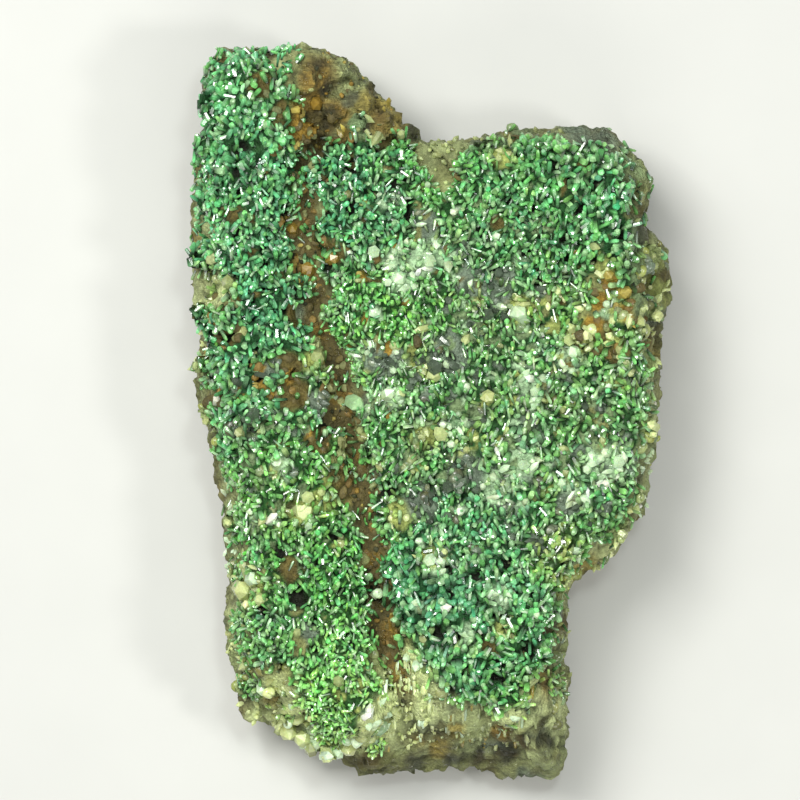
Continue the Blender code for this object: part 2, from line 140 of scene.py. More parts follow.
COVERS: dict[Ground, Cover] = {
    Ground.MILKY: Cover(Tone.FROST, 0.40, Tone.PALE_GREEN, 0.26, Tone.MILK, 0.16,
                        (Tone.MILK, Tone.MILK, Tone.FROST)),
    Ground.CREAMY: Cover(Tone.OLIVE, 0.34, Tone.YELLOW_GREEN, 0.18, Tone.CREAM, 0.14,
                         (Tone.CREAM, Tone.CREAM, Tone.SAND)),
    Ground.SMOKY: Cover(Tone.GREY, 0.24, Tone.GREY_GREEN, 0.20, Tone.GREY, 0.18,
                        (Tone.GREY, Tone.GREY, Tone.ASH)),
    Ground.SANDY: Cover(Tone.TAN, 0.24, Tone.MOSS, 0.08, Tone.SAND, 0.14,
                        (Tone.SAND, Tone.TAN, Tone.OLIVE)),
    Ground.BROWN: Cover(Tone.UMBER, 0.18, Tone.MOSS, 0.0, Tone.SAND, 0.26,
                        (Tone.UMBER, Tone.UMBER, Tone.AMBER, Tone.TAN)),
    Ground.RUSTY: Cover(Tone.RUST, 0.14, Tone.MOSS, 0.03, Tone.OCHRE, 0.26,
                        (Tone.AMBER, Tone.AMBER, Tone.RUST, Tone.OCHRE, Tone.SAND)),
    # Hollows: ground painted near black as painted shade, over a bed that also dips there
    Ground.HOLLOW: Cover(Tone.NEAR_BLACK, 0.10, Tone.SEA, 0.0, Tone.GREY, 0.0, (Tone.ASH,)),
    Ground.STONY: Cover(Tone.STONE, 0.38, Tone.GREY_GREEN, 0.08, Tone.SAND, 0.12,
                        (Tone.STONE, Tone.STONE, Tone.GREY_GREEN, Tone.SAND)),
    Ground.EDGE: Cover(Tone.STONE, 0.08, Tone.GREY_GREEN, 0.04, Tone.SAND, 0.08,
                       (Tone.STONE, Tone.STONE, Tone.GREY, Tone.TAN, Tone.OLIVE)),
    Ground.LEDGE: Cover(Tone.KHAKI, 0.08, Tone.MOSS, 0.06, Tone.CREAM, 0.08,
                        (Tone.KHAKI, Tone.KHAKI, Tone.STONE, Tone.SAND, Tone.OLIVE)),
    Ground.BARE: Cover(Tone.CREAM, 0.04, Tone.YELLOW_GREEN, 0.02, Tone.MILK, 0.10,
                       (Tone.CREAM, Tone.MILK, Tone.SAND)),
}
LIMONITE = (Ground.BROWN, Ground.RUSTY)


class Spot(NamedTuple):
    """A round spot seen from above: its middle and its radius."""

    x: float
    y: float
    radius: float


# Where each kind of ground shows in the green crusts
GROUND_SPOTS: dict[Ground, list[Spot]] = {
    Ground.MILKY: [
        Spot(-6.5, 23.0, 1.3), Spot(-4.5, 20.0, 1.3), Spot(-1.5, 22.5, 1.8), Spot(2.5, 23.5, 0.9),
        Spot(0.5, 25.5, 0.8), Spot(-5.5, 32.0, 1.0), Spot(5.5, 20.0, 0.9), Spot(13.5, 23.0, 0.8),
        Spot(-9.0, 9.5, 0.9), Spot(-5.0, 7.5, 1.1), Spot(-5.5, 2.5, 1.2), Spot(-10.5, 2.0, 1.5),
        Spot(2.5, -2.5, 1.1), Spot(13.5, -7.5, 2.0), Spot(10.0, -12.0, 1.1), Spot(9.0, -9.5, 0.9),
        Spot(21.0, 8.5, 1.4), Spot(15.0, 4.5, 1.5), Spot(26.5, 15.5, 1.1), Spot(26.0, -7.0, 2.3),
        Spot(22.0, -12.0, 1.5), Spot(1.5, -22.5, 0.9), Spot(10.5, -26.5, 1.3), Spot(6.0, -32.0, 0.9),
        Spot(-22.0, -8.0, 1.1), Spot(-7.5, -44.5, 1.7),
    ],
    Ground.CREAMY: [
        Spot(-0.5, -3.0, 1.6), Spot(-16.5, 8.0, 1.5), Spot(-19.0, -14.0, 1.6), Spot(-27.0, -26.0, 1.8),
        Spot(-4.5, -14.5, 1.4), Spot(0.5, -21.0, 1.2), Spot(-15.5, -12.5, 1.1), Spot(11.0, 38.0, 1.1),
        Spot(13.5, 15.5, 1.4), Spot(22.5, 11.5, 1.4), Spot(28.5, 17.0, 1.4), Spot(26.0, 22.0, 1.1),
        Spot(10.5, -31.5, 0.9),
    ],
    Ground.BARE: [
        Spot(-4.2, -36.0, 1.8), Spot(-3.6, -39.0, 2.8), Spot(-1.5, -42.5, 3.4), Spot(-6.0, -43.5, 2.2),
        Spot(2.5, -44.5, 2.6), Spot(-4.5, -46.5, 3.0), Spot(7.5, -46.5, 2.6), Spot(12.5, -46.5, 2.6),
        Spot(17.0, -41.0, 2.4), Spot(-10.5, -51.0, 1.6), Spot(-14.5, -52.0, 2.0),
        Spot(-17.7, -48.8, 1.6), Spot(-21.0, -47.5, 2.0), Spot(-11.7, -49.7, 1.5),
        Spot(-8.3, -46.0, 1.7), Spot(-24.0, -45.5, 2.2), Spot(-22.6, -41.8, 2.4),
        Spot(-19.5, -45.0, 1.8), Spot(-32.5, 18.5, 2.3),
    ],
    Ground.SMOKY: [
        Spot(3.0, 9.0, 2.4), Spot(5.5, -8.5, 2.1), Spot(-1.0, -13.0, 2.2), Spot(10.0, 18.0, 1.6),
        Spot(6.0, 19.5, 1.4), Spot(11.5, 21.0, 1.0), Spot(-7.0, 7.5, 1.7), Spot(-16.0, 1.5, 1.2),
        Spot(-0.5, 28.0, 1.4), Spot(-23.5, 7.0, 1.2), Spot(-27.0, -2.0, 1.1), Spot(20.5, -13.5, 1.1),
        Spot(-18.0, -32.0, 1.0),
    ],
    Ground.SANDY: [
        Spot(-11.5, -3.0, 1.3), Spot(-13.0, -6.0, 1.0), Spot(24.0, 19.0, 0.9),
        Spot(30.5, 29.0, 0.8), Spot(-26.5, -44.5, 1.6), Spot(-19.5, -34.0, 1.0),
        Spot(-29.5, -21.5, 1.3), Spot(-4.5, -33.5, 1.6), Spot(-27.0, -38.0, 1.8),
        Spot(-7.5, -36.5, 1.6), Spot(-22.5, -38.5, 1.4), Spot(-9.5, 45.0, 3.2), Spot(-5.5, 42.5, 2.6),
        Spot(-12.5, 47.5, 3.4),
    ],
    Ground.BROWN: [
        Spot(-17.8, 43.5, 2.2), Spot(-25.0, 49.0, 1.3), Spot(-29.0, 29.5, 0.9), Spot(-14.5, 24.0, 1.4),
        Spot(-30.5, 16.5, 0.8), Spot(-29.5, 11.5, 1.1), Spot(-19.5, 15.5, 1.0), Spot(-16.5, 14.0, 1.3),
        Spot(-20.5, 7.5, 1.4), Spot(-20.0, 3.0, 2.0), Spot(-14.0, 3.5, 1.2), Spot(-16.5, -3.5, 1.3),
        Spot(-32.0, 2.5, 0.8), Spot(-12.5, -9.5, 1.5), Spot(2.5, 36.5, 1.4), Spot(10.0, 28.0, 0.7),
        Spot(25.5, 12.5, 1.1), Spot(28.0, 9.0, 0.9), Spot(18.5, 17.0, 0.7), Spot(-20.5, -23.0, 1.5),
        Spot(9.0, -34.0, 0.8), Spot(18.7, -44.5, 1.8), Spot(-10.0, -16.0, 1.3),
        Spot(-22.0, 45.0, 1.0), Spot(-14.0, 42.0, 2.0), Spot(-7.5, 42.0, 2.0), Spot(-14.0, 49.0, 2.4),
        Spot(-17.5, 40.0, 1.8),
    ],
    Ground.STONY: [
        Spot(-12.5, 46.0, 2.6), Spot(-10.0, 43.5, 1.8), Spot(-15.5, 51.0, 1.2),
    ],
    Ground.RUSTY: [
        Spot(-20.0, 28.5, 1.3), Spot(-18.5, 22.0, 1.7), Spot(26.5, 20.0, 0.8), Spot(25.5, 17.0, 0.8),
        Spot(30.0, 15.5, 1.3), Spot(24.0, 13.5, 0.9), Spot(-16.5, 47.0, 2.8), Spot(-14.0, 44.0, 2.4),
        Spot(-6.8, -30.5, 1.6), Spot(-5.5, -34.0, 1.0), Spot(-18.5, 42.5, 1.8), Spot(-19.0, 49.0, 1.6),
    ],
    Ground.HOLLOW: [
        Spot(-15.0, -1.5, 1.1), Spot(-19.5, -27.0, 1.1), Spot(10.5, -36.5, 0.5),
        Spot(14.5, -35.0, 0.7), Spot(-8.5, -20.0, 1.2), Spot(-8.0, -27.3, 1.5),
        Spot(-6.5, -11.2, 1.4), Spot(-28.0, 39.0, 0.6),
    ],
}


class Stray(NamedTuple):
    """A region where small patches of one kind of ground are strewn by noise."""

    ground: Ground
    x: float
    y: float
    radius: float
    share: float


# Edges of the upper face where another ground shows instead of the crusts, and how far inwards
RIMS: tuple[tuple[Ground, float, tuple[tuple[float, float], ...]], ...] = (
    (Ground.BARE, 1.8, ((-21.0, -47.2), (-17.5, -49.8), (-13.5, -50.8), (-10.5, -48.8))),
    (Ground.EDGE, 2.0, ((4.6, 40.9), (13.5, 42.6), (19.5, 43.5))),
    (Ground.EDGE, 3.6, ((20.5, 43.8), (25.4, 43.2), (27.8, 42.0))),
    (Ground.EDGE, 1.9, ((27.8, 42.0), (30.9, 38.6))),
    (Ground.LEDGE, 2.2, ((33.6, 26.0), (34.0, 21.0), (33.8, 16.0))),
    (Ground.EDGE, 1.7,
     ((30.9, 38.6), (32.1, 33.4), (31.4, 28.2), (31.6, 20.0), (32.4, 12.0))),
    (Ground.LEDGE, 2.4,
     ((33.9, 11.1), (33.6, -2.2), (32.8, -8.2), (31.4, -14.1), (27.6, -20.8), (22.4, -23.8),
      (20.7, -26.0), (20.5, -30.5), (20.4, -39.4), (19.5, -49.0))),
    (Ground.LEDGE, 1.7,
     ((-34.5, 6.7), (-33.3, -2.2), (-31.8, -9.7), (-30.8, -17.1), (-30.8, -24.5),
      (-29.6, -33.4), (-29.3, -42.4), (-26.6, -46.0))),
)

# Small patches that are too many to place one by one
STRAYS: tuple[Stray, ...] = (
    Stray(Ground.MILKY, 2.0, 14.0, 20.0, 0.09),
    Stray(Ground.MILKY, 18.0, -4.0, 17.0, 0.11),
    Stray(Ground.MILKY, 5.0, -28.0, 12.0, 0.06),
    Stray(Ground.MILKY, -22.0, -16.0, 11.0, 0.06),
    Stray(Ground.CREAMY, 2.0, 0.0, 17.0, 0.09),
    Stray(Ground.CREAMY, 25.0, 10.0, 12.0, 0.10),
    Stray(Ground.CREAMY, -22.0, -14.0, 10.0, 0.09),
    Stray(Ground.CREAMY, -6.0, -38.0, 10.0, 0.06),
    Stray(Ground.SMOKY, 6.0, 8.0, 17.0, 0.15),
    Stray(Ground.SMOKY, 16.0, -8.0, 18.0, 0.15),
    Stray(Ground.SMOKY, -24.0, 0.0, 10.0, 0.10),
    Stray(Ground.STONY, 24.0, 2.0, 15.0, 0.12),
    Stray(Ground.STONY, 4.0, 4.0, 18.0, 0.07),
    Stray(Ground.STONY, -26.0, -14.0, 16.0, 0.10),
    Stray(Ground.STONY, 20.0, 33.0, 14.0, 0.06),
    Stray(Ground.SANDY, 27.0, 4.0, 13.0, 0.06),
    Stray(Ground.SANDY, -24.0, -34.0, 11.0, 0.06),
    Stray(Ground.SANDY, -3.0, 33.0, 8.0, 0.12),
    Stray(Ground.BROWN, -22.0, 24.0, 20.0, 0.06),
    Stray(Ground.BROWN, -17.0, 2.0, 12.0, 0.13),
    Stray(Ground.BROWN, 14.0, 28.0, 13.0, 0.04),
    Stray(Ground.BROWN, 28.0, 12.0, 10.0, 0.12),
    Stray(Ground.RUSTY, -18.0, 12.0, 16.0, 0.05),
    Stray(Ground.HOLLOW, -10.0, 34.0, 10.0, 0.23),
    Stray(Ground.HOLLOW, 8.0, -30.0, 12.0, 0.22),
    Stray(Ground.HOLLOW, 18.0, 30.0, 14.0, 0.20),
    Stray(Ground.HOLLOW, -26.0, 22.0, 18.0, 0.18),
    Stray(Ground.HOLLOW, -18.0, -26.0, 12.0, 0.16),
)
STRAY_LENGTH, STRAY_EDGE = 2.1, 0.10

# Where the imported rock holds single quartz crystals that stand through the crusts
BIG_QUARTZ: tuple[tuple[float, float, Ground], ...] = (
    (-6.3, 23.0, Ground.MILKY), (-2.0, 22.2, Ground.MILKY), (9.0, 15.5, Ground.SMOKY),
    (2.6, 8.4, Ground.SMOKY), (-0.6, -3.0, Ground.CREAMY), (3.2, -10.6, Ground.SMOKY),
    (13.0, -7.6, Ground.MILKY), (15.2, 4.5, Ground.MILKY), (26.0, -8.4, Ground.MILKY),
    (10.6, -27.0, Ground.MILKY), (-29.0, 18.4, Ground.SANDY), (-25.0, 2.0, Ground.SMOKY),
    (-19.6, -14.0, Ground.CREAMY), (-24.5, -27.0, Ground.CREAMY), (22.5, 12.0, Ground.CREAMY),
    (-12.0, -38.0, Ground.SANDY),
)
BIG_QUARTZ_REACH, BIG_QUARTZ_SEARCH, BIG_QUARTZ_TIP = 2.4, 3.4, 0.6


class Block(NamedTuple):
    """A single block among the crystals, seen from above: its middle, half width and colour."""

    x: float
    y: float
    radius: float
    tone: Tone


# Blocks of quartz and limonite that stand out one by one
BLOCKS: tuple[Block, ...] = (
    Block(13.5, 15.0, 1.35, Tone.MILK),
    Block(-0.9, -2.8, 1.55, Tone.CREAM),
    Block(0.8, 6.0, 1.15, Tone.CREAM),
    Block(8.6, 2.6, 1.1, Tone.CREAM),
    Block(21.5, 9.4, 1.1, Tone.MILK),
    Block(-6.1, 3.1, 1.1, Tone.MILK),
    Block(28.6, 18.2, 1.2, Tone.OCHRE),
    Block(26.6, 20.6, 0.9, Tone.OCHRE),
    Block(-10.9, 1.8, 1.3, Tone.PALE_GREEN),
    Block(-16.5, 8.6, 1.3, Tone.SAND),
    Block(-18.6, -14.5, 1.7, Tone.CREAM),
    Block(-27.6, -26.0, 1.6, Tone.CREAM),
    Block(-26.0, -24.2, 1.1, Tone.MILK),
    Block(0.1, -21.5, 1.0, Tone.MILK),
    Block(-4.4, 20.3, 1.1, Tone.MILK),
    Block(-18.2, 21.6, 1.2, Tone.RUST),
    Block(-20.4, 27.6, 1.0, Tone.RUST),
    Block(-14.3, 23.2, 0.9, Tone.RUST),
    Block(-17.0, 46.3, 1.1, Tone.RUST),
    Block(-16.4, -49.2, 1.3, Tone.MILK),
    Block(-18.8, -48.4, 1.2, Tone.CREAM),
    Block(-14.0, -50.3, 1.2, Tone.MILK),
    Block(-12.0, -49.6, 1.1, Tone.CREAM),
    Block(-17.6, -49.9, 1.0, Tone.SAND),
    Block(-15.2, -50.7, 1.0, Tone.CREAM),
    Block(-21.0, -47.2, 1.2, Tone.CREAM),
)


@dataclass(frozen=True)
class Wash:
    """A soft-edged wash of one colour over a part of the surface, seen from above.

    Attributes:
        x: Middle of the wash.
        y: Middle of the wash.
        radius: Distance over which it fades out.
        tone: Its colour.
        size: Crystal size there, as a share of the usual one.
    """

    x: float
    y: float
    radius: float
    tone: Tone
    size: float = 1.0


# The shades of the green crystals, from the head of the specimen to its foot
GREEN_WASHES: tuple[Wash, ...] = (
    Wash(-29.0, 47.0, 8.0, Tone.EMERALD, 1.15),
    Wash(-30.0, 33.0, 9.0, Tone.EMERALD, 1.0),
    Wash(-17.0, 33.0, 9.0, Tone.SEA, 0.95),
    Wash(-25.0, 18.0, 9.0, Tone.SEA, 0.95),
    Wash(-28.0, 3.0, 9.0, Tone.EMERALD, 1.05),
    Wash(-22.0, -9.0, 7.0, Tone.LEAF, 0.95),
    Wash(-16.0, -26.0, 7.0, Tone.LEAF, 0.9),
    Wash(-27.0, -34.0, 7.0, Tone.MOSS, 0.9),
    Wash(-13.0, -38.0, 6.0, Tone.FRESH, 0.85),
    Wash(-14.5, -46.0, 5.0, Tone.FRESH, 0.80),
    Wash(-15.5, -31.0, 4.0, Tone.FRESH, 0.80),
    Wash(-8.0, 30.0, 7.0, Tone.EMERALD, 0.95),
    Wash(-2.0, 34.0, 5.0, Tone.LEAF, 0.85),
    Wash(-8.0, 13.0, 8.0, Tone.LEAF, 0.85),
    Wash(2.0, 16.0, 7.0, Tone.LEAF, 0.85),
    Wash(8.0, 31.0, 8.0, Tone.MEADOW, 0.95),
    Wash(20.0, 35.0, 8.0, Tone.MEADOW, 1.1),
    Wash(27.0, 30.0, 7.0, Tone.EMERALD, 1.1),
    Wash(14.0, 25.0, 8.0, Tone.MEADOW, 0.9),
    Wash(17.0, 12.0, 8.0, Tone.MEADOW, 1.0),
    Wash(28.0, 5.0, 8.0, Tone.MOSS, 1.0),
    Wash(0.0, -4.0, 7.0, Tone.MEADOW, 0.9),
    Wash(12.0, -3.0, 7.0, Tone.MOSS, 1.0),
    Wash(13.5, -0.5, 3.6, Tone.FROST, 0.95),
    Wash(26.0, -7.0, 3.4, Tone.FROST, 0.95),
    Wash(20.5, -19.5, 4.0, Tone.YELLOW_GREEN, 0.95),
    Wash(-12.5, -47.5, 2.5, Tone.YELLOW_GREEN, 0.70),
    Wash(22.0, -10.0, 8.0, Tone.MEADOW, 1.0),
    Wash(8.0, -16.0, 8.0, Tone.EMERALD, 0.95),
    Wash(-1.0, -28.0, 6.0, Tone.SEA, 1.15),
    Wash(8.0, -31.0, 7.0, Tone.EMERALD, 1.1),
    Wash(14.0, -35.0, 6.0, Tone.MEADOW, 1.0),
)

# The stains of the bare rock
ROCK_WASHES: tuple[Wash, ...] = (
    Wash(-12.5, 48.3, 10.5, Tone.TAN),
    Wash(-10.0, 51.0, 4.5, Tone.SAND),
    Wash(-16.5, 50.5, 3.5, Tone.RUST),
    Wash(-17.5, 45.5, 4.0, Tone.RUST),
    Wash(-13.5, 45.0, 2.5, Tone.RUST),
    Wash(-7.3, 45.4, 4.4, Tone.OCHRE),
    Wash(-6.5, 44.0, 2.2, Tone.AMBER),
    Wash(-4.6, 43.6, 2.4, Tone.OCHRE),
    Wash(-16.6, 52.0, 1.8, Tone.NEAR_BLACK),
    Wash(-11.5, 46.5, 1.6, Tone.ASH),
    Wash(-8.0, 49.0, 1.3, Tone.UMBER),
    Wash(-2.4, 42.2, 1.9, Tone.NEAR_BLACK),
    Wash(-9.2, 42.6, 1.5, Tone.NEAR_BLACK),
    Wash(-5.8, 46.2, 2.0, Tone.OCHRE),
    Wash(-15.2, 48.6, 1.4, Tone.NEAR_BLACK),
    Wash(3.1, 38.0, 5.0, Tone.SAND),
    Wash(2.6, 36.0, 2.4, Tone.TAN),
    Wash(0.0, 40.5, 2.6, Tone.SAND),
    Wash(6.0, 37.5, 2.2, Tone.UMBER),
    Wash(12.0, 41.5, 5.0, Tone.STONE),
    Wash(11.5, 42.5, 1.6, Tone.RUST),
    Wash(24.0, 41.5, 6.0, Tone.GREY),
    Wash(30.0, 36.0, 3.0, Tone.STONE),
    Wash(34.0, 20.0, 6.0, Tone.OLIVE),
    Wash(35.3, 21.0, 1.4, Tone.UMBER),
    Wash(33.5, 15.0, 2.4, Tone.GREY),
    Wash(33.3, 9.0, 2.6, Tone.OCHRE),
    Wash(33.0, 2.0, 5.0, Tone.CREAM),
    Wash(-33.5, 18.5, 3.2, Tone.CREAM),
    Wash(31.5, -9.0, 7.0, Tone.KHAKI),
    Wash(27.0, -21.0, 6.5, Tone.CREAM),
    Wash(23.5, -23.5, 3.0, Tone.OCHRE),
    Wash(21.0, -26.5, 3.0, Tone.CREAM),
    Wash(-34.5, -2.0, 8.0, Tone.TAN),
    Wash(-31.0, -17.0, 6.0, Tone.KHAKI),
    Wash(-29.5, -26.0, 4.0, Tone.CREAM),
    Wash(-30.0, -36.0, 6.0, Tone.KHAKI),
    Wash(-22.0, -44.5, 7.0, Tone.CREAM),
    Wash(-23.0, -41.5, 2.6, Tone.OCHRE),
    Wash(-25.5, -45.5, 2.2, Tone.CREAM),
    Wash(-12.0, -49.0, 4.0, Tone.CREAM),
    Wash(-16.3, -49.6, 4.2, Tone.MILK),
    Wash(-7.0, -45.0, 5.5, Tone.CREAM),
    Wash(-1.0, -42.0, 5.5, Tone.CREAM),
    Wash(7.0, -45.0, 5.0, Tone.SAND),
    Wash(14.5, -43.5, 3.4, Tone.CREAM),
    Wash(4.0, -47.0, 1.8, Tone.OCHRE),
    Wash(-3.0, -49.6, 2.0, Tone.SAND),
    Wash(1.5, -49.8, 2.2, Tone.OCHRE),
    Wash(6.0, -50.0, 2.2, Tone.SAND),
    Wash(10.5, -47.0, 1.5, Tone.RUST),
    Wash(19.8, -36.0, 4.0, Tone.KHAKI),
    Wash(19.8, -42.5, 3.2, Tone.CREAM),
    Wash(19.6, -47.0, 2.4, Tone.CREAM),
)

# The iron-stained seam between the two crusts
SEAM: tuple[tuple[float, float], ...] = (
    (-15.5, 44.0), (-19.0, 36.4), (-17.7, 21.5), (-13.2, 2.2), (-8.8, -15.6), (-7.3, -27.5),
    (-4.3, -42.4), (-4.0, -50.0),
)
SEAM_REACH = 2.6
SEAM_ORANGE: tuple[Spot, ...] = (
    Spot(-18.4, 21.5, 1.6), Spot(-20.7, 27.5, 1.6), Spot(-14.7, 23.8, 1.4), Spot(-16.3, 12.0, 1.6),
    Spot(-13.5, 3.0, 1.5), Spot(-9.5, -6.2, 1.6), Spot(-8.0, -21.5, 1.4), Spot(-5.3, -32.0, 2.2),
    Spot(-5.0, -38.0, 1.6),
)

# Upper edge of the dark band under the comb quartz of the broken lower end
BAND_TOP: tuple[tuple[float, float], ...] = (
    (-14.0, -50.2), (-12.0, -49.6), (-4.5, -50.4), (0.0, -50.9), (10.5, -51.0), (14.0, -52.0))
BAND_SHARE, BAND_SOFTNESS = 0.80, 0.8

# Stains that lie over the dark band
BAND_WASHES: tuple[Wash, ...] = (
    Wash(17.0, -52.0, 3.2, Tone.SAND),
    Wash(18.6, -50.8, 1.4, Tone.TAN),
    Wash(14.8, -50.9, 1.4, Tone.CREAM),
    Wash(16.6, -45.5, 1.5, Tone.EARTH),
    Wash(17.6, -48.5, 1.6, Tone.EARTH),
    Wash(-9.0, -51.6, 2.4, Tone.UMBER),
    Wash(-2.0, -52.4, 1.8, Tone.ASH),
    Wash(3.5, -51.6, 1.6, Tone.ASH),
    Wash(11.6, -50.6, 2.2, Tone.NEAR_BLACK),
    Wash(7.8, -51.2, 1.5, Tone.NEAR_BLACK),
)


def noise_at(points: np.ndarray, length: float, shift: float = 0.0) -> np.ndarray:
    """Read smooth noise at points.

    Args:
        points: Points in millimetres, one row each.
        length: Distance over which the noise changes, in millimetres.
        shift: Moves the noise, so that two uses of it differ.

    Returns:
        One value from about -1 to 1 for each point.
    """
    places = points / length + np.array([shift, -shift, shift * 0.5])
    return np.array([noise.noise(place) for place in places.tolist()])


def fade(values: np.ndarray, low: float, high: float) -> np.ndarray:
    """Step smoothly from 0 at the low value to 1 at the high one.

    Args:
        values: Values to grade.
        low: Value that gives 0.
        high: Value that gives 1.

    Returns:
        The graded values.
    """
    share = np.clip((values - low) / (high - low), 0.0, 1.0)
    return share * share * (3.0 - 2.0 * share)


def blend_towards(colours: np.ndarray, tone: Tone, weight: np.ndarray) -> np.ndarray:
    """Move colours towards a tone.

    Args:
        colours: Colours, one row each.
        tone: Colour to move to.
        weight: How far each one goes, from 0 to 1.

    Returns:
        The new colours.
    """
    share = weight[:, None]
    return colours * (1.0 - share) + np.array(tone.value) * share


def distance_to_path(spots: np.ndarray, path: Iterable[tuple[float, float]]) -> np.ndarray:
    """Measure how far places are from a path.

    Args:
        spots: Places seen from above, one row of x and y each.
        path: Corners of the path.

    Returns:
        One distance for each place.
    """
    corners = np.array(list(path))
    best = np.full(len(spots), np.inf)
    for start, end in zip(corners[:-1], corners[1:]):
        run = end - start
        share = np.clip(((spots - start) @ run) / (run @ run), 0.0, 1.0)
        best = np.minimum(best, np.linalg.norm(spots - start - share[:, None] * run, axis=1))
    return best


def standing_quartz() -> list[tuple[float, float, Ground]]:
    """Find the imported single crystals: the rock's tallest points near where they should be.

    Returns:
        The middle of each one, seen from above, and its kind.
    """
    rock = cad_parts["quartz_matrix"].data
    corners = np.array([vertex.co for vertex in rock.vertices]) / MM
    found = []
    for x, y, ground in BIG_QUARTZ:
        away = np.hypot(corners[:, 0] - x, corners[:, 1] - y)
        near = corners[away < BIG_QUARTZ_SEARCH]
        tip = near[near[:, 2] > near[:, 2].max() - BIG_QUARTZ_TIP].mean(axis=0)
        found.append((float(tip[0]), float(tip[1]), ground))
    return found


class Layout:
    """Where the shades of green, the bare ground and the stains lie, seen from above."""

    WANDER, WANDER_LENGTH = 0.9, 1.9
    GREEN_WANDER, GREEN_WANDER_LENGTH = 2.4, 5.0
    SPOT_MARGIN = 0.45
    THINNEST, THIN_LENGTH = 0.45, 2.6
    HAZE, HAZE_REACH = 0.75, 1.2
    SEAM_GROUND = 0.90
    PATCHES, PATCH_LENGTH = 0.38, 3.2

    def ragged(self, spots: np.ndarray, reach: float, length: float) -> np.ndarray:
        """Shift places by noise, so that what is laid out on them gets a ragged edge.

        Args:
            spots: Places seen from above.
            reach: Furthest shift.
            length: Distance over which the shift changes.

        Returns:
            The shifted places.
        """
        flat = np.column_stack([spots, np.zeros(len(spots))])
        shift = [noise_at(flat, length, 3.0), noise_at(flat, length, 17.0)]
        return spots + np.column_stack(shift) * reach

    def ground_weights(self, spots: np.ndarray) -> dict[Ground, np.ndarray]:
        """Weigh each kind of ground at places in the crusts.

        Args:
            spots: Places seen from above.

        Returns:
            For each kind of ground, its weight from 0 to 1 at each place.
        """
        moved = self.ragged(spots, self.WANDER, self.WANDER_LENGTH)
        weights = {}
        for ground in Ground:
            best = np.zeros(len(spots))
            for spot in GROUND_SPOTS.get(ground, ()):
                away = np.hypot(moved[:, 0] - spot.x, moved[:, 1] - spot.y)
                away /= spot.radius + self.SPOT_MARGIN
                best = np.maximum(best, 1.0 - fade(away, 0.75, 1.35))
            weights[ground] = best
        self.strew(spots, weights)
        near = 1.0 - fade(distance_to_path(moved, SEAM), 0.7, 2.2)
        flat = np.column_stack([spots, np.zeros(len(spots))])
        near *= 0.35 + 0.65 * fade(noise_at(flat, 4.5, 33.0), -0.35, 0.15)
        weights[Ground.BROWN] = np.maximum(weights[Ground.BROWN], self.SEAM_GROUND * near)
        for ground, reach, path in RIMS:
            near = 1.0 - fade(distance_to_path(moved, path), reach * 0.6, reach * 1.3)
            weights[ground] = np.maximum(weights[ground], near)
        return weights

    @staticmethod
    def strew(spots: np.ndarray, weights: dict[Ground, np.ndarray]) -> None:
        """Add the small patches that noise strews.

        Args:
            spots: Places seen from above.
            weights: Weight of each kind of ground there, to be raised.
        """
        flat = np.column_stack([spots, np.zeros(len(spots))])
        clouds = {ground: noise_at(flat, STRAY_LENGTH, 50.0 + 13.0 * index)
                  for index, ground in enumerate(Ground)}
        for stray in STRAYS:
            away = np.hypot(spots[:, 0] - stray.x, spots[:, 1] - stray.y) / stray.radius
            level = 0.52 - 1.7 * stray.share * (1.0 - fade(away, 0.6, 1.2))
            found = fade(clouds[stray.ground], level, level + STRAY_EDGE) * (away < 1.2)
            weights[stray.ground] = np.maximum(weights[stray.ground], found)

    def green_share(self, spots: np.ndarray) -> np.ndarray:
        """Tell which share of the green crystals grows at each place.

        Args:
            spots: Places seen from above.

        Returns:
            Shares from 0 to 1.
        """
        flat = np.column_stack([spots, np.zeros(len(spots))])
        share = 1.0 - self.THINNEST * fade(noise_at(flat, self.THIN_LENGTH, 71.0), 0.0, 0.45)
        for ground, weight in self.ground_weights(spots).items():
            share *= 1.0 - weight * (1.0 - COVERS[ground].green)
        for block in BLOCKS:
            away = np.hypot(spots[:, 0] - block.x, spots[:, 1] - block.y) / block.radius
            share *= fade(away, 0.7, 1.1)
        return share

    def green_tones(self, spots: np.ndarray) -> tuple[np.ndarray, np.ndarray]:
        """Mix the washes of green at each place.

        Args:
            spots: Places seen from above.

        Returns:
            The colours, and the crystal sizes as shares of the usual one.
        """
        moved = self.ragged(spots, self.GREEN_WANDER, self.GREEN_WANDER_LENGTH)
        tones = np.zeros((len(spots), 3))
        sizes = np.zeros(len(spots))
        total = np.zeros(len(spots))
        for wash in GREEN_WASHES:
            away = np.hypot(moved[:, 0] - wash.x, moved[:, 1] - wash.y) / wash.radius
            weight = np.exp(-2.2 * away ** 2) + 1e-9
            tones += weight[:, None] * np.array(wash.tone.value)
            sizes += weight * wash.size
            total += weight
        flat = np.column_stack([spots, np.zeros(len(spots))])
        patches = 1.0 + self.PATCHES * noise_at(flat, self.PATCH_LENGTH, 81.0)
        return tones / total[:, None] * patches[:, None], sizes / total

    def hazed(self, spots: np.ndarray, tones: np.ndarray) -> np.ndarray:
        """Let the ground's colours tint the crystals near it.

        Args:
            spots: Places seen from above.
            tones: Shades of green there.

        Returns:
            The tinted shades.
        """
        for turn in range(4):
            angle = math.tau * (turn + 0.5) / 4
            shift = self.HAZE_REACH * np.array([math.cos(angle), math.sin(angle)])
            for ground, weight in self.ground_weights(spots + shift).items():
                tones = blend_towards(tones, COVERS[ground].haze, weight * self.HAZE / 2)
        return tones

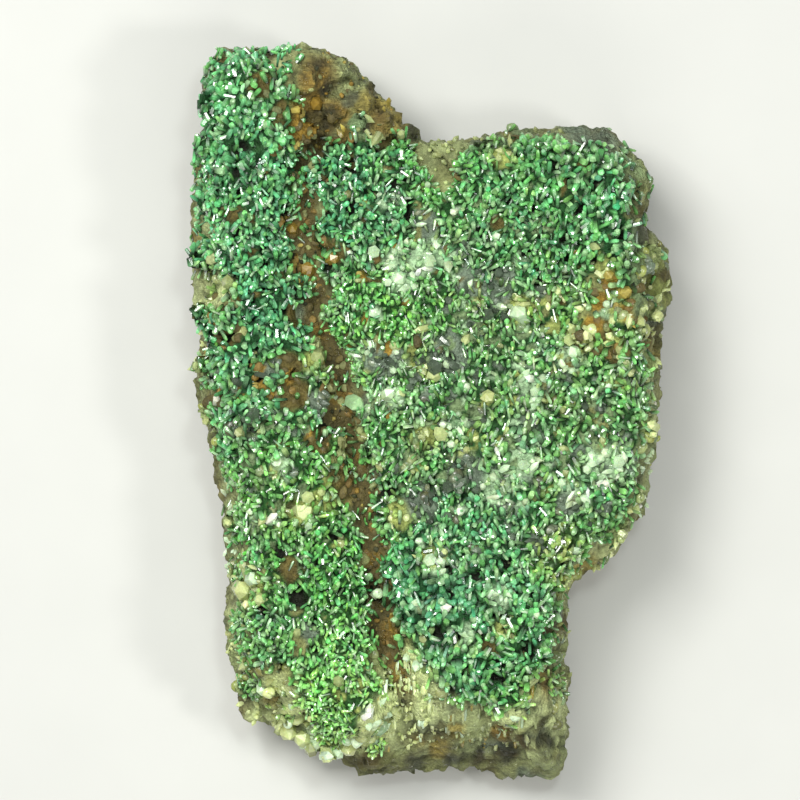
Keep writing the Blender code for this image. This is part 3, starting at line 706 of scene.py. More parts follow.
    def bed_tones(self, spots: np.ndarray) -> np.ndarray:
        """Colour the bed that the green crystals stand on, its base near black green as painted shade
        between the crystals.

        Args:
            spots: Places seen from above.

        Returns:
            One colour for each place.
        """
        tones, _ = self.green_tones(spots)
        # Painted shade: the bed's base is near black green where the gaps between crystals show
        colours = np.tile(np.array(Tone.SHADE_GREEN.value), (len(spots), 1)) + tones * 0.09
        flat = np.column_stack([spots, np.zeros(len(spots))])
        earthy = fade(noise_at(flat, 3.4, 8.0), 0.2, 0.5)
        colours = blend_towards(colours, Tone.EARTH, earthy * 0.2)
        for ground, weight in self.ground_weights(spots).items():
            colours = blend_towards(colours, COVERS[ground].tone, weight)
        speckle = 1.0 + 0.5 * noise_at(flat, 0.8, 61.0)
        return np.clip(colours * speckle[:, None], 0.004, 0.8)

    @staticmethod
    def washed(colours: np.ndarray, spots: np.ndarray, washes: tuple[Wash, ...]) -> np.ndarray:
        """Lay round stains over colours, one after the other.

        Args:
            colours: The colours.
            spots: Places seen from above.
            washes: The stains.

        Returns:
            The stained colours.
        """
        for wash in washes:
            away = np.hypot(spots[:, 0] - wash.x, spots[:, 1] - wash.y) / wash.radius
            colours = blend_towards(colours, wash.tone, 0.9 * (1.0 - fade(away, 0.45, 1.1)))
        return colours

    def rock_stains(self, spots: np.ndarray, colours: np.ndarray) -> np.ndarray:
        """Lay the stains of the upper face over the rock's own colours.

        Args:
            spots: Places seen from above.
            colours: The rock's own colours there.

        Returns:
            The stained colours.
        """
        moved = self.ragged(spots, self.WANDER, self.WANDER_LENGTH)
        band_x, band_y = np.array(BAND_TOP).T
        below = fade(np.interp(moved[:, 0], band_x, band_y) - moved[:, 1], 0.0, BAND_SOFTNESS)
        inside = fade(moved[:, 0], band_x[0], band_x[0] + 2.0)
        inside *= 1.0 - fade(moved[:, 0], band_x[-1] - 1.0, band_x[-1])
        colours = self.washed(colours, moved, ROCK_WASHES)
        colours = blend_towards(colours, Tone.TAN, BAND_SHARE * inside * below)
        colours = self.washed(colours, moved, BAND_WASHES)
        seam = 1.0 - fade(distance_to_path(moved, SEAM), SEAM_REACH * 0.6, SEAM_REACH * 1.2)
        colours = blend_towards(colours, Tone.UMBER, seam * (1.0 - fade(-moved[:, 1], 40.0, 44.0)))
        for spot in SEAM_ORANGE:
            away = np.hypot(moved[:, 0] - spot.x, moved[:, 1] - spot.y) / spot.radius
            colours = blend_towards(colours, Tone.RUST, 0.85 * (1.0 - fade(away, 0.5, 1.3)))
        return colours


def arrays_of(mesh: bpy.types.Mesh) -> tuple[np.ndarray, np.ndarray]:
    """Read a mesh as arrays.

    Args:
        mesh: The mesh to read.

    Returns:
        Its points in millimetres and its point normals.
    """
    points = np.empty(len(mesh.vertices) * 3, np.float32)
    mesh.vertices.foreach_get("co", points)
    normals = np.empty(len(mesh.vertices) * 3, np.float32)
    mesh.vertex_normals.foreach_get("vector", normals)
    return points.reshape(-1, 3).astype(float) / MM, normals.reshape(-1, 3).astype(float)


def triangles_of(mesh: bpy.types.Mesh) -> np.ndarray:
    """List the corners of a mesh's triangles, one row for each triangle."""
    mesh.calc_loop_triangles()
    corners = np.empty(len(mesh.loop_triangles) * 3, np.int32)
    mesh.loop_triangles.foreach_get("vertices", corners)
    return corners.reshape(-1, 3)


def paint(mesh: bpy.types.Mesh, colours: np.ndarray, name: str = "tint") -> None:
    """Store a colour at each point of a mesh, for its material to read.

    Args:
        mesh: The mesh.
        colours: One colour for each point.
        name: Name that the material reads it by.
    """
    layer = mesh.color_attributes.new(name=name, type="FLOAT_COLOR", domain="POINT")
    rgba = np.column_stack([colours, np.ones(len(colours))]).astype(np.float32)
    layer.data.foreach_set("color", rgba.ravel())


def mesh_from(name: str, points: np.ndarray, faces: Iterable[np.ndarray]) -> bpy.types.Mesh:
    """Make a mesh from arrays.

    Args:
        name: Name of the mesh.
        points: Points in millimetres.
        faces: Arrays of faces, each array with one number of corners.

    Returns:
        The mesh, in metres and with flat faces.
    """
    groups = [group for group in faces if len(group)]
    sizes = np.concatenate([np.full(len(group), group.shape[1]) for group in groups])
    corners = np.concatenate([group.ravel() for group in groups]).astype(np.int32)
    mesh = bpy.data.meshes.new(name)
    mesh.vertices.add(len(points))
    mesh.vertices.foreach_set("co", (points * MM).astype(np.float32).ravel())
    mesh.loops.add(len(corners))
    mesh.loops.foreach_set("vertex_index", corners)
    mesh.polygons.add(len(sizes))
    starts = np.concatenate([[0], np.cumsum(sizes)[:-1]]).astype(np.int32)
    mesh.polygons.foreach_set("loop_start", starts)
    mesh.update(calc_edges=True)
    mesh.shade_flat()
    return mesh


def place(name: str, mesh: bpy.types.Mesh, material: bpy.types.Material) -> bpy.types.Object:
    """Put a mesh in the scene as an object with one material.

    Args:
        name: Name of the object.
        mesh: Its mesh.
        material: Its material.

    Returns:
        The object.
    """
    mesh.name = name
    mesh.materials.clear()
    mesh.materials.append(material)
    item = bpy.data.objects.new(name, mesh)
    bpy.context.scene.collection.objects.link(item)
    return item


def report(piece: bpy.types.Object) -> None:
    """Log a piece's name and its number of triangles."""
    LOG.info("%s: %d triangles", piece.name, len(triangles_of(piece.data)))


class Terrain:
    """Surfaces that things fall on from above."""

    def __init__(self, meshes: list[bpy.types.Mesh]) -> None:
        """Take the surfaces of some meshes.

        Args:
            meshes: The meshes, the rock's own first where it is among them.
        """
        self.trees = [BVHTree.FromPolygons([vertex.co / MM for vertex in mesh.vertices],
                                           triangles_of(mesh).tolist()) for mesh in meshes]

    def covers(self, x: float, y: float) -> bool:
        """Tell whether a place lies over the terrain's first surface, the rock."""
        hit = self.trees[0].ray_cast(Vector((x, y, BEYOND)), Vector((0.0, 0.0, -1.0)))
        return hit[0] is not None

    def drop(self, x: float, y: float) -> tuple[Vector, Vector] | None:
        """Find the highest surface over a place.

        Args:
            x: The place.
            y: The place.

        Returns:
            The point and its normal, or None past the rock's edge.
        """
        best = None
        for tree in self.trees:
            point, normal, _, _ = tree.ray_cast(Vector((x, y, BEYOND)), Vector((0.0, 0.0, -1.0)))
            if point is not None and (best is None or point.z > best[0].z):
                best = (point, normal)
        return best


class Settled(NamedTuple):
    """Where rounded bodies lie, how large they are and their colours."""

    places: np.ndarray
    radii: np.ndarray
    tones: np.ndarray


class Ways(NamedTuple):
    """Roots on a surface and the surface's normals there."""

    points: np.ndarray
    normals: np.ndarray


def sample_surface(mesh: bpy.types.Mesh, weights: np.ndarray, count: int,
                   draw: np.random.Generator) -> Ways:
    """Draw places on a mesh, evenly over its area.

    Args:
        mesh: The surface.
        weights: Share of the places that each of its points may bear.
        count: How many places to draw.
        draw: Source of the random numbers.

    Returns:
        The places and their normals.
    """
    points, normals = arrays_of(mesh)
    corners = triangles_of(mesh)
    a, b, c = (points[corners[:, index]] for index in range(3))
    area = np.linalg.norm(np.cross(b - a, c - a), axis=1) / 2
    chance = area * weights[corners].mean(axis=1)
    picked = draw.choice(len(corners), size=count, p=chance / chance.sum())
    u, v = draw.random(count), draw.random(count)
    over = u + v > 1.0
    u[over], v[over] = 1.0 - u[over], 1.0 - v[over]
    shares = np.column_stack([1.0 - u - v, u, v])
    chosen = corners[picked]
    spots = np.einsum("nk,nkj->nj", shares, points[chosen])
    leans = np.einsum("nk,nkj->nj", shares, normals[chosen])
    return Ways(spots, leans / np.linalg.norm(leans, axis=1)[:, None])


def keep_apart(points: np.ndarray, spacing: np.ndarray) -> np.ndarray:
    """Choose points that keep a distance from each other, in their own order.

    Args:
        points: Points to choose from.
        spacing: Distance that each one asks for.

    Returns:
        The indices of the chosen points.
    """
    cell = float(spacing.max())
    shelves: dict[tuple[int, int, int], list[int]] = {}
    keys = np.floor(points / cell).astype(int).tolist()
    rows = points.tolist()
    gaps = spacing.tolist()
    steps = [(i, j, k) for i in (-1, 0, 1) for j in (-1, 0, 1) for k in (-1, 0, 1)]
    chosen = []
    for index, ((kx, ky, kz), (x, y, z)) in enumerate(zip(keys, rows)):
        gap = gaps[index]
        near = (other for i, j, k in steps for other in shelves.get((kx + i, ky + j, kz + k), ()))
        if any((rows[o][0] - x) ** 2 + (rows[o][1] - y) ** 2 + (rows[o][2] - z) ** 2
               < ((gap + gaps[o]) / 2) ** 2 for o in near):
            continue
        shelves.setdefault((kx, ky, kz), []).append(index)
        chosen.append(index)
    return np.array(chosen, int)


@dataclass(frozen=True)
class Habit:
    """The shape that a mineral's crystals take.

    Attributes:
        rings: Height and radius of each ring of six corners, as shares of length and radius.
        pointed: True for a pyramid on the last ring, False for a flat end.
        shades: Painted shade and painted light of each ring, and of the tip where there is one: darker
            towards the root, lighter towards the end.
    """

    rings: tuple[tuple[float, float], ...]
    pointed: bool
    shades: tuple[float, ...]


class Form(Enum):
    """The crystal forms on the specimen."""

    # Each form's ring shades are painted shade at the root end and painted light towards the end
    BARREL = Habit(((0.20, 0.88), (0.86, 1.0), (1.0, 0.66)), False, (0.02, 1.16, 1.05))
    POINT = Habit(((0.0, 0.95), (0.62, 1.0)), True, (0.70, 1.0, 1.10))
    COLUMN = Habit(((0.0, 1.0), (0.5, 0.96), (0.9, 0.86)), True, (0.75, 0.95, 1.0, 1.1))


SIDES_OF_PRISM = 6


@dataclass
class Bunch:
    """Many crystals of one form, to be made as one mesh.

    Attributes:
        form: Their form.
        roots: Middle of each crystal's lower end, in millimetres.
        axes: Direction in which each one points.
        spins: Turn of each one about its axis, in radians.
        radii: Half the thickness of each one.
        lengths: Length of each one.
        tones: Colour of each one.
    """

    form: Form
    roots: np.ndarray
    axes: np.ndarray
    spins: np.ndarray
    radii: np.ndarray
    lengths: np.ndarray
    tones: np.ndarray
    unevenness: float = 0.09

    def frames(self) -> tuple[np.ndarray, np.ndarray]:
        """Find the two directions across each crystal."""
        helper = np.where(np.abs(self.axes[:, 2:]) < 0.9, [[0.0, 0.0, 1.0]], [[1.0, 0.0, 0.0]])
        first = np.cross(helper, self.axes)
        first /= np.linalg.norm(first, axis=1)[:, None]
        second = np.cross(self.axes, first)
        turn_cos, turn_sin = np.cos(self.spins)[:, None], np.sin(self.spins)[:, None]
        return first * turn_cos + second * turn_sin, second * turn_cos - first * turn_sin

    def mesh(self, name: str, draw: np.random.Generator) -> bpy.types.Mesh:
        """Build all the crystals.

        Args:
            name: Name of the mesh.
            draw: Source of the random numbers that make the prisms uneven.

        Returns:
            The mesh with its tints.
        """
        habit = self.form.value
        count = len(self.roots)
        across, along = self.frames()
        corner = np.arange(SIDES_OF_PRISM) * math.tau / SIDES_OF_PRISM
        uneven = 1.0 + self.unevenness * draw.standard_normal((count, SIDES_OF_PRISM))
        reach = self.radii[:, None] * uneven
        ring = (across[:, None, :] * (reach * np.cos(corner))[:, :, None]
                + along[:, None, :] * (reach * np.sin(corner))[:, :, None])
        rows, shades = [], []
        for (height, width), shade in zip(habit.rings, habit.shades):
            middle = self.roots + self.axes * (self.lengths * height)[:, None]
            rows.append(middle[:, None, :] + ring * width)
            shades.extend([shade] * SIDES_OF_PRISM)
        if habit.pointed:
            tip = self.roots + self.axes * self.lengths[:, None]
            rows.append(tip[:, None, :])
            shades.append(habit.shades[-1])
        points = np.concatenate(rows, axis=1)
        stride = points.shape[1]
        offsets = (np.arange(count) * stride)[:, None]
        faces = [(offsets[:, :, None] + group[None]).reshape(-1, group.shape[1])
                 for group in self.pattern(habit)]
        mesh = mesh_from(name, points.reshape(-1, 3), faces)
        # Painted shade and painted light: each crystal's colour darkened towards its root, lightened
        # towards its end
        tints = self.tones[:, None, :] * np.array(shades)[None, :, None]
        paint(mesh, tints.reshape(-1, 3))
        return mesh

    @staticmethod
    def pattern(habit: Habit) -> list[np.ndarray]:
        """List the faces of one crystal: its lower end, its sides and its tip or flat end."""
        six = list(range(SIDES_OF_PRISM))
        turned = six[1:] + six[:1]
        last = (len(habit.rings) - 1) * SIDES_OF_PRISM
        quads = [[base + i, base + j, base + j + SIDES_OF_PRISM, base + i + SIDES_OF_PRISM]
                 for base in range(0, last, SIDES_OF_PRISM) for i, j in zip(six, turned)]
        ends = [six[::-1]]
        if not habit.pointed:
            return [np.array(quads), np.array(ends + [[last + i for i in six]])]
        slants = [[last + i, last + j, last + SIDES_OF_PRISM] for i, j in zip(six, turned)]
        return [np.array(quads), np.array(ends), np.array(slants)]


def lean_from(normals: np.ndarray, tilt: np.ndarray, heading: np.ndarray) -> np.ndarray:
    """Tilt directions away from the surface's normals.

    Args:
        normals: Normals, one row each.
        tilt: Angle of each tilt, in radians.
        heading: Direction of each tilt seen from above, in radians.

    Returns:
        The tilted directions.
    """
    level = np.column_stack([np.cos(heading), np.sin(heading), np.zeros(len(heading))])
    level -= normals * np.sum(level * normals, axis=1)[:, None]
    level /= np.linalg.norm(level, axis=1)[:, None]
    return normals * np.cos(tilt)[:, None] + level * np.sin(tilt)[:, None]


class Nodes:
    """A node tree with short calls to add nodes and join their sockets."""

    def __init__(self, tree: bpy.types.NodeTree) -> None:
        """Work on the given tree."""
        self.tree = tree

    def add(self, kind: str, **settings: object) -> bpy.types.Node:
        """Add a node.

        Args:
            kind: Blender's name of the node type, without its Shader prefix.
            settings: Properties of the node to set.

        Returns:
            The node.
        """
        prefix = "" if kind.startswith("Node") else "ShaderNode"
        node = self.tree.nodes.new(prefix + kind)
        for name, value in settings.items():
            setattr(node, name, value)
        return node

    def join(self, source: bpy.types.NodeSocket, target: bpy.types.NodeSocket) -> None:
        """Join an output socket to an input socket."""
        self.tree.links.new(source, target)

    def noise(self, vector: bpy.types.NodeSocket, scale: bpy.types.NodeSocket | float,
              detail: float = 2.0) -> bpy.types.NodeSocket:
        """Add a noise texture.

        Args:
            vector: Coordinates that it reads.
            scale: Its scale, as a number or a socket.
            detail: How many finer layers it has.

        Returns:
            Its value socket.
        """
        texture = self.add("TexNoise")
        texture.inputs["Detail"].default_value = detail
        self.join(vector, texture.inputs["Vector"])
        if isinstance(scale, float):
            texture.inputs["Scale"].default_value = scale
        else:
            self.join(scale, texture.inputs["Scale"])
        return texture.outputs["Fac"]

    def range(self, value: bpy.types.NodeSocket, source: tuple[float, float],
              target: tuple[float, float]) -> bpy.types.NodeSocket:
        """Map a value from one range to another.

        Args:
            value: The value socket.
            source: Lowest and highest value that it has.
            target: What those two become.

        Returns:
            The mapped value's socket.
        """
        mapped = self.add("MapRange")
        self.join(value, mapped.inputs["Value"])
        for name, number in zip(("From Min", "From Max", "To Min", "To Max"), source + target):
            mapped.inputs[name].default_value = number
        return mapped.outputs["Result"]

    def maths(self, operation: str, first: bpy.types.NodeSocket,
              second: bpy.types.NodeSocket | float) -> bpy.types.NodeSocket:
        """Add a maths node.

        Args:
            operation: Blender's name of the operation.
            first: First value.
            second: Second value, a number or a socket.

        Returns:
            The result's socket.
        """
        node = self.add("Math", operation=operation)
        self.join(first, node.inputs[0])
        if isinstance(second, float):
            node.inputs[1].default_value = second
        else:
            self.join(second, node.inputs[1])
        return node.outputs[0]

    def mix(self, factor: bpy.types.NodeSocket, first: bpy.types.NodeSocket,
            second: bpy.types.NodeSocket, blend: str = "MIX") -> bpy.types.NodeSocket:
        """Mix two colours.

        Args:
            factor: How much of the second one.
            first: First colour.
            second: Second colour.
            blend: Blender's name of the way of mixing.

        Returns:
            The mixed colour's socket.
        """
        node = self.add("Mix", data_type="RGBA", blend_type=blend)
        self.join(factor, node.inputs["Factor"])
        self.join(first, node.inputs[6])
        self.join(second, node.inputs[7])
        return node.outputs[2]


class Effect(Enum):
    """Effects that several finishes share."""

    MOTTLE = "mineral_mottle"
    SUGAR = "sugary_grain"
    IRON = "iron_stain"


class Effects:
    """Builds each shared effect once, as a shader node group."""

    def __init__(self) -> None:
        """Build the three groups."""
        self.groups = {
            Effect.MOTTLE: self.build_mottle(),
            Effect.SUGAR: self.build_sugar(),
            Effect.IRON: self.build_iron(),
        }

    @staticmethod
    def start(effect: Effect, takes: dict[str, str],
              gives: dict[str, str]) -> tuple[Nodes, bpy.types.Node, bpy.types.Node]:
        """Start a group.

        Args:
            effect: The effect, whose value names the group.
            takes: Names of its inputs and Blender's names of their kinds.
            gives: The same for its outputs.

        Returns:
            The group's tree, its input node and its output node.
        """
        group = bpy.data.node_groups.new(effect.value, "ShaderNodeTree")
        for name, kind in takes.items():
            group.interface.new_socket(name=name, in_out="INPUT", socket_type=kind)
        for name, kind in gives.items():
            group.interface.new_socket(name=name, in_out="OUTPUT", socket_type=kind)
        nodes = Nodes(group)
        return nodes, nodes.add("NodeGroupInput"), nodes.add("NodeGroupOutput")

    def build_mottle(self) -> bpy.types.NodeTree:
        """Build uneven colour at two scales, with the height that goes with it."""
        nodes, given, result = self.start(
            Effect.MOTTLE,
            {"Tint": "NodeSocketColor", "Coarse": "NodeSocketFloat", "Fine": "NodeSocketFloat",
             "Depth": "NodeSocketFloat"},
            {"Colour": "NodeSocketColor", "Mask": "NodeSocketFloat", "Height": "NodeSocketFloat"})
        place_on = nodes.add("TexCoord").outputs["Object"]
        coarse = nodes.noise(place_on, given.outputs["Coarse"], 3.0)
        fine = nodes.noise(place_on, given.outputs["Fine"], 2.0)
        both = nodes.maths("ADD", coarse, fine)
        swing = nodes.maths("MULTIPLY", nodes.maths("SUBTRACT", both, 1.0), given.outputs["Depth"])
        level = nodes.maths("ADD", swing, 1.0)
        grey = nodes.add("CombineColor")
        for socket in grey.inputs[:3]:
            nodes.join(level, socket)
        whole = nodes.add("Mix", data_type="RGBA", blend_type="MULTIPLY")
        whole.inputs["Factor"].default_value = 1.0
        nodes.join(given.outputs["Tint"], whole.inputs[6])
        nodes.join(grey.outputs[0], whole.inputs[7])
        nodes.join(whole.outputs[2], result.inputs["Colour"])
        nodes.join(coarse, result.inputs["Mask"])
        nodes.join(nodes.maths("MULTIPLY", both, 0.5), result.inputs["Height"])
        return nodes.tree

    def build_sugar(self) -> bpy.types.NodeTree:
        """Build the relief of sugary, fine-grained crystal."""
        nodes, given, result = self.start(
            Effect.SUGAR, {"Grain": "NodeSocketFloat"},
            {"Height": "NodeSocketFloat", "Spark": "NodeSocketFloat"})
        place_on = nodes.add("TexCoord").outputs["Object"]
        cells = nodes.add("TexVoronoi")
        nodes.join(place_on, cells.inputs["Vector"])
        nodes.join(given.outputs["Grain"], cells.inputs["Scale"])
        finer = nodes.noise(place_on, nodes.maths("MULTIPLY", given.outputs["Grain"], 2.7), 2.0)
        nodes.join(nodes.maths("ADD", cells.outputs["Distance"], finer), result.inputs["Height"])
        hue = nodes.add("SeparateColor")
        nodes.join(cells.outputs["Color"], hue.inputs[0])
        nodes.join(nodes.range(hue.outputs[0], (0.86, 0.94), (0.0, 1.0)), result.inputs["Spark"])
        return nodes.tree

    def build_iron(self) -> bpy.types.NodeTree:
        """Build rusty stains that creep over a colour."""
        nodes, given, result = self.start(
            Effect.IRON,
            {"Colour": "NodeSocketColor", "Stain": "NodeSocketColor", "Size": "NodeSocketFloat",
             "Amount": "NodeSocketFloat"},
            {"Colour": "NodeSocketColor", "Mask": "NodeSocketFloat"})
        place_on = nodes.add("TexCoord").outputs["Object"]
        cloud = nodes.noise(place_on, given.outputs["Size"], 4.0)
        edge = nodes.range(cloud, (0.48, 0.66), (0.0, 1.0))
        mask = nodes.maths("MULTIPLY", edge, given.outputs["Amount"])
        nodes.join(nodes.mix(mask, given.outputs["Colour"], given.outputs["Stain"]),
                   result.inputs["Colour"])
        nodes.join(mask, result.inputs["Mask"])
        return nodes.tree

    def use(self, nodes: Nodes, effect: Effect, **values: object) -> bpy.types.Node:
        """Place an effect in a material.

        Args:
            nodes: The material's tree.
            effect: Which effect.
            values: Its inputs, each a number, a colour or a socket.

        Returns:
            The group node.
        """
        node = nodes.add("Group")
        node.node_tree = self.groups[effect]
        for name, value in values.items():
            if isinstance(value, bpy.types.NodeSocket):
                nodes.join(value, node.inputs[name])
            elif isinstance(value, Tone):
                node.inputs[name].default_value = (*value.value, 1.0)
            else:
                node.inputs[name].default_value = value
        return node


def new_material(name: str) -> tuple[bpy.types.Material, Nodes, bpy.types.Node]:
    """Start a material.

    Args:
        name: Its name.

    Returns:
        The material, its tree and its shader.
    """
    material = bpy.data.materials.new(name)
    material.use_nodes = True
    nodes = Nodes(material.node_tree)
    return material, nodes, material.node_tree.nodes["Principled BSDF"]


def raise_relief(nodes: Nodes, shader: bpy.types.Node, height: bpy.types.NodeSocket,
                 strength: float, distance: float) -> None:
    """Give a shader a fine relief.

    Args:
        nodes: The material's tree.
        shader: The shader.
        height: Height of the relief, from 0 to 1.
        strength: How much of it shows.
        distance: How deep it is, in millimetres.
    """
    bump = nodes.add("Bump")
    bump.inputs["Strength"].default_value = strength
    bump.inputs["Distance"].default_value = distance * MM
    nodes.join(height, bump.inputs["Height"])
    nodes.join(bump.outputs["Normal"], shader.inputs["Normal"])


def painted(nodes: Nodes, name: str = "tint") -> bpy.types.NodeSocket:
    """Read a colour that is painted on a mesh."""
    return nodes.add("Attribute", attribute_name=name).outputs["Color"]


@dataclass(frozen=True)
class RockFinish:
    """Broken vein quartz and limonite: matt, sugary and stained by iron, fibrous in places."""

    name: str = "stained_rock"
    coarse: float = 300.0
    fine: float = 1700.0
    depth: float = 1.1
    grain: float = 1900.0
    stain_size: float = 240.0
    stain_amount: float = 0.40
    relief: float = 0.40
    fibre_turn: float = 52.0
    fibre_scale: tuple[float, float, float] = (330.0, 2400.0, 900.0)
    fibre_depth: float = 1.5

    def material(self, effects: Effects) -> bpy.types.Material:
        """Build the material from the shared effects."""
        material, nodes, shader = new_material(self.name)
        mottle = effects.use(nodes, Effect.MOTTLE, Tint=painted(nodes), Coarse=self.coarse,
                             Fine=self.fine, Depth=self.depth)
        iron = effects.use(nodes, Effect.IRON, Colour=mottle.outputs["Colour"], Stain=Tone.UMBER,
                           Size=self.stain_size, Amount=self.stain_amount)
        sugar = effects.use(nodes, Effect.SUGAR, Grain=self.grain)
        fibres = self.fibres(nodes)
        spread = nodes.maths("MULTIPLY", nodes.maths("SUBTRACT", fibres, 0.5), self.fibre_depth)
        swing = nodes.maths("MULTIPLY", spread, painted(nodes, "fibre"))
        level = nodes.maths("ADD", swing, 1.0)
        streaked = nodes.add("Mix", data_type="RGBA", blend_type="MULTIPLY")
        streaked.inputs["Factor"].default_value = 1.0
        nodes.join(iron.outputs["Colour"], streaked.inputs[6])
        nodes.join(level, streaked.inputs[7])
        nodes.join(streaked.outputs[2], shader.inputs["Base Color"])
        dull = nodes.range(sugar.outputs["Spark"], (0.0, 1.0), (0.78, 0.16))
        nodes.join(dull, shader.inputs["Roughness"])
        height = nodes.maths("ADD", sugar.outputs["Height"], mottle.outputs["Height"])
        raise_relief(nodes, shader, nodes.maths("ADD", height, swing), 0.8, self.relief)
        return material

    def fibres(self, nodes: Nodes) -> bpy.types.NodeSocket:
        """Draw a noise out along the fibres of the brown shoulder."""
        place_on = nodes.add("TexCoord").outputs["Object"]
        drawn = nodes.add("Mapping")
        drawn.inputs["Rotation"].default_value = (0.0, 0.0, math.radians(self.fibre_turn))
        drawn.inputs["Scale"].default_value = self.fibre_scale
        nodes.join(place_on, drawn.inputs["Vector"])
        return nodes.noise(drawn.outputs["Vector"], 1.0, 2.0)


@dataclass(frozen=True)
class BedFinish:
    """The floor of small grown-together crystals under the green druse, painted dark as painted shade
    between the crystals.
    """

    name: str = "crystal_floor"
    coarse: float = 600.0
    fine: float = 2400.0
    depth: float = 1.4
    grain: float = 1700.0
    relief: float = 0.4
    gleam: float = 0.2

    def material(self, effects: Effects) -> bpy.types.Material:
        """Build the material from the shared effects."""
        material, nodes, shader = new_material(self.name)
        shader.inputs["Specular IOR Level"].default_value = self.gleam
        mottle = effects.use(nodes, Effect.MOTTLE, Tint=painted(nodes), Coarse=self.coarse,
                             Fine=self.fine, Depth=self.depth)
        sugar = effects.use(nodes, Effect.SUGAR, Grain=self.grain)
        nodes.join(mottle.outputs["Colour"], shader.inputs["Base Color"])
        gloss = nodes.range(sugar.outputs["Spark"], (0.0, 1.0), (0.55, 0.12))
        nodes.join(gloss, shader.inputs["Roughness"])
        raise_relief(nodes, shader, sugar.outputs["Height"], 0.8, self.relief)
        return material


@dataclass(frozen=True)
class CrystalFinish:
    """Green pyromorphite: strongly refracting, so its faces are resinous and bright."""

    name: str = "green_crystal"
    coarse: float = 900.0
    fine: float = 3600.0
    depth: float = 0.9
    refraction: float = 2.0
    roughness: tuple[float, float] = (0.11, 0.32)
    relief: float = 0.04

    def material(self, effects: Effects) -> bpy.types.Material:
        """Build the material from the shared effects."""
        material, nodes, shader = new_material(self.name)
        mottle = effects.use(nodes, Effect.MOTTLE, Tint=painted(nodes), Coarse=self.coarse,
                             Fine=self.fine, Depth=self.depth)
        nodes.join(mottle.outputs["Colour"], shader.inputs["Base Color"])
        nodes.join(nodes.range(mottle.outputs["Mask"], (0.3, 0.7), self.roughness),
                   shader.inputs["Roughness"])
        shader.inputs["IOR"].default_value = self.refraction
        raise_relief(nodes, shader, mottle.outputs["Height"], 0.6, self.relief)
        return material


@dataclass(frozen=True)
class QuartzFinish:
    """Milky quartz: pale, glassy and a little cloudy inside, with iron in its cracks."""

    name: str = "milky_quartz"
    coarse: float = 600.0
    fine: float = 2600.0
    depth: float = 0.6
    stain_size: float = 330.0
    stain_amount: float = 0.22
    roughness: tuple[float, float] = (0.12, 0.34)
    refraction: float = 1.55
    relief: float = 0.06
    glow: float = 0.35
    glow_reach: float = 0.9

    def material(self, effects: Effects) -> bpy.types.Material:
        """Build the material from the shared effects."""
        material, nodes, shader = new_material(self.name)
        mottle = effects.use(nodes, Effect.MOTTLE, Tint=painted(nodes), Coarse=self.coarse,
                             Fine=self.fine, Depth=self.depth)
        iron = effects.use(nodes, Effect.IRON, Colour=mottle.outputs["Colour"], Stain=Tone.OCHRE,
                           Size=self.stain_size, Amount=self.stain_amount)
        nodes.join(iron.outputs["Colour"], shader.inputs["Base Color"])
        nodes.join(nodes.range(mottle.outputs["Mask"], (0.3, 0.7), self.roughness),
                   shader.inputs["Roughness"])
        shader.inputs["IOR"].default_value = self.refraction
        shader.inputs["Subsurface Weight"].default_value = self.glow
        shader.inputs["Subsurface Radius"].default_value = (1.0, 0.9, 0.6)
        shader.inputs["Subsurface Scale"].default_value = self.glow_reach * MM
        raise_relief(nodes, shader, mottle.outputs["Height"], 0.5, self.relief)
        return material


@dataclass(frozen=True)
class SmokyFinish:
    """Clear grey quartz that lets the dark rock show through."""

    name: str = "smoky_quartz"
    coarse: float = 500.0
    fine: float = 2400.0
    depth: float = 0.4
    clearness: float = 0.45
    refraction: float = 1.54
    roughness: float = 0.14
    relief: float = 0.05

    def material(self, effects: Effects) -> bpy.types.Material:
        """Build the material from the shared effects."""
        material, nodes, shader = new_material(self.name)
        mottle = effects.use(nodes, Effect.MOTTLE, Tint=painted(nodes), Coarse=self.coarse,
                             Fine=self.fine, Depth=self.depth)
        nodes.join(mottle.outputs["Colour"], shader.inputs["Base Color"])
        shader.inputs["Roughness"].default_value = self.roughness
        shader.inputs["IOR"].default_value = self.refraction
        shader.inputs["Transmission Weight"].default_value = self.clearness
        raise_relief(nodes, shader, mottle.outputs["Height"], 0.5, self.relief)
        return material


@dataclass(frozen=True)
class CrumbFinish:
    """Earthy limonite crumbs, brown to orange, with a dull skin."""

    name: str = "limonite_crumb"
    coarse: float = 800.0
    fine: float = 3000.0
    depth: float = 1.2
    grain: float = 2600.0
    relief: float = 0.12

    def material(self, effects: Effects) -> bpy.types.Material:
        """Build the material from the shared effects."""
        material, nodes, shader = new_material(self.name)
        mottle = effects.use(nodes, Effect.MOTTLE, Tint=painted(nodes), Coarse=self.coarse,
                             Fine=self.fine, Depth=self.depth)
        sugar = effects.use(nodes, Effect.SUGAR, Grain=self.grain)
        nodes.join(mottle.outputs["Colour"], shader.inputs["Base Color"])
        nodes.join(nodes.range(sugar.outputs["Spark"], (0.0, 1.0), (0.7, 0.15)),
                   shader.inputs["Roughness"])
        raise_relief(nodes, shader, sugar.outputs["Height"], 0.7, self.relief)
        return material


@dataclass(frozen=True)
class FloorFinish:
    """A plain pale studio floor."""

    name: str = "pale_floor"
    colour: Colour = (0.62, 0.62, 0.60)
    coarse: float = 9.0
    fine: float = 60.0
    depth: float = 0.06

    def material(self, effects: Effects) -> bpy.types.Material:
        """Build the material from the shared effects."""
        material, nodes, shader = new_material(self.name)
        mottle = effects.use(nodes, Effect.MOTTLE, Coarse=self.coarse, Fine=self.fine,
                             Depth=self.depth)
        mottle.inputs["Tint"].default_value = (*self.colour, 1.0)
        nodes.join(mottle.outputs["Colour"], shader.inputs["Base Color"])
        shader.inputs["Roughness"].default_value = 0.85
        return material


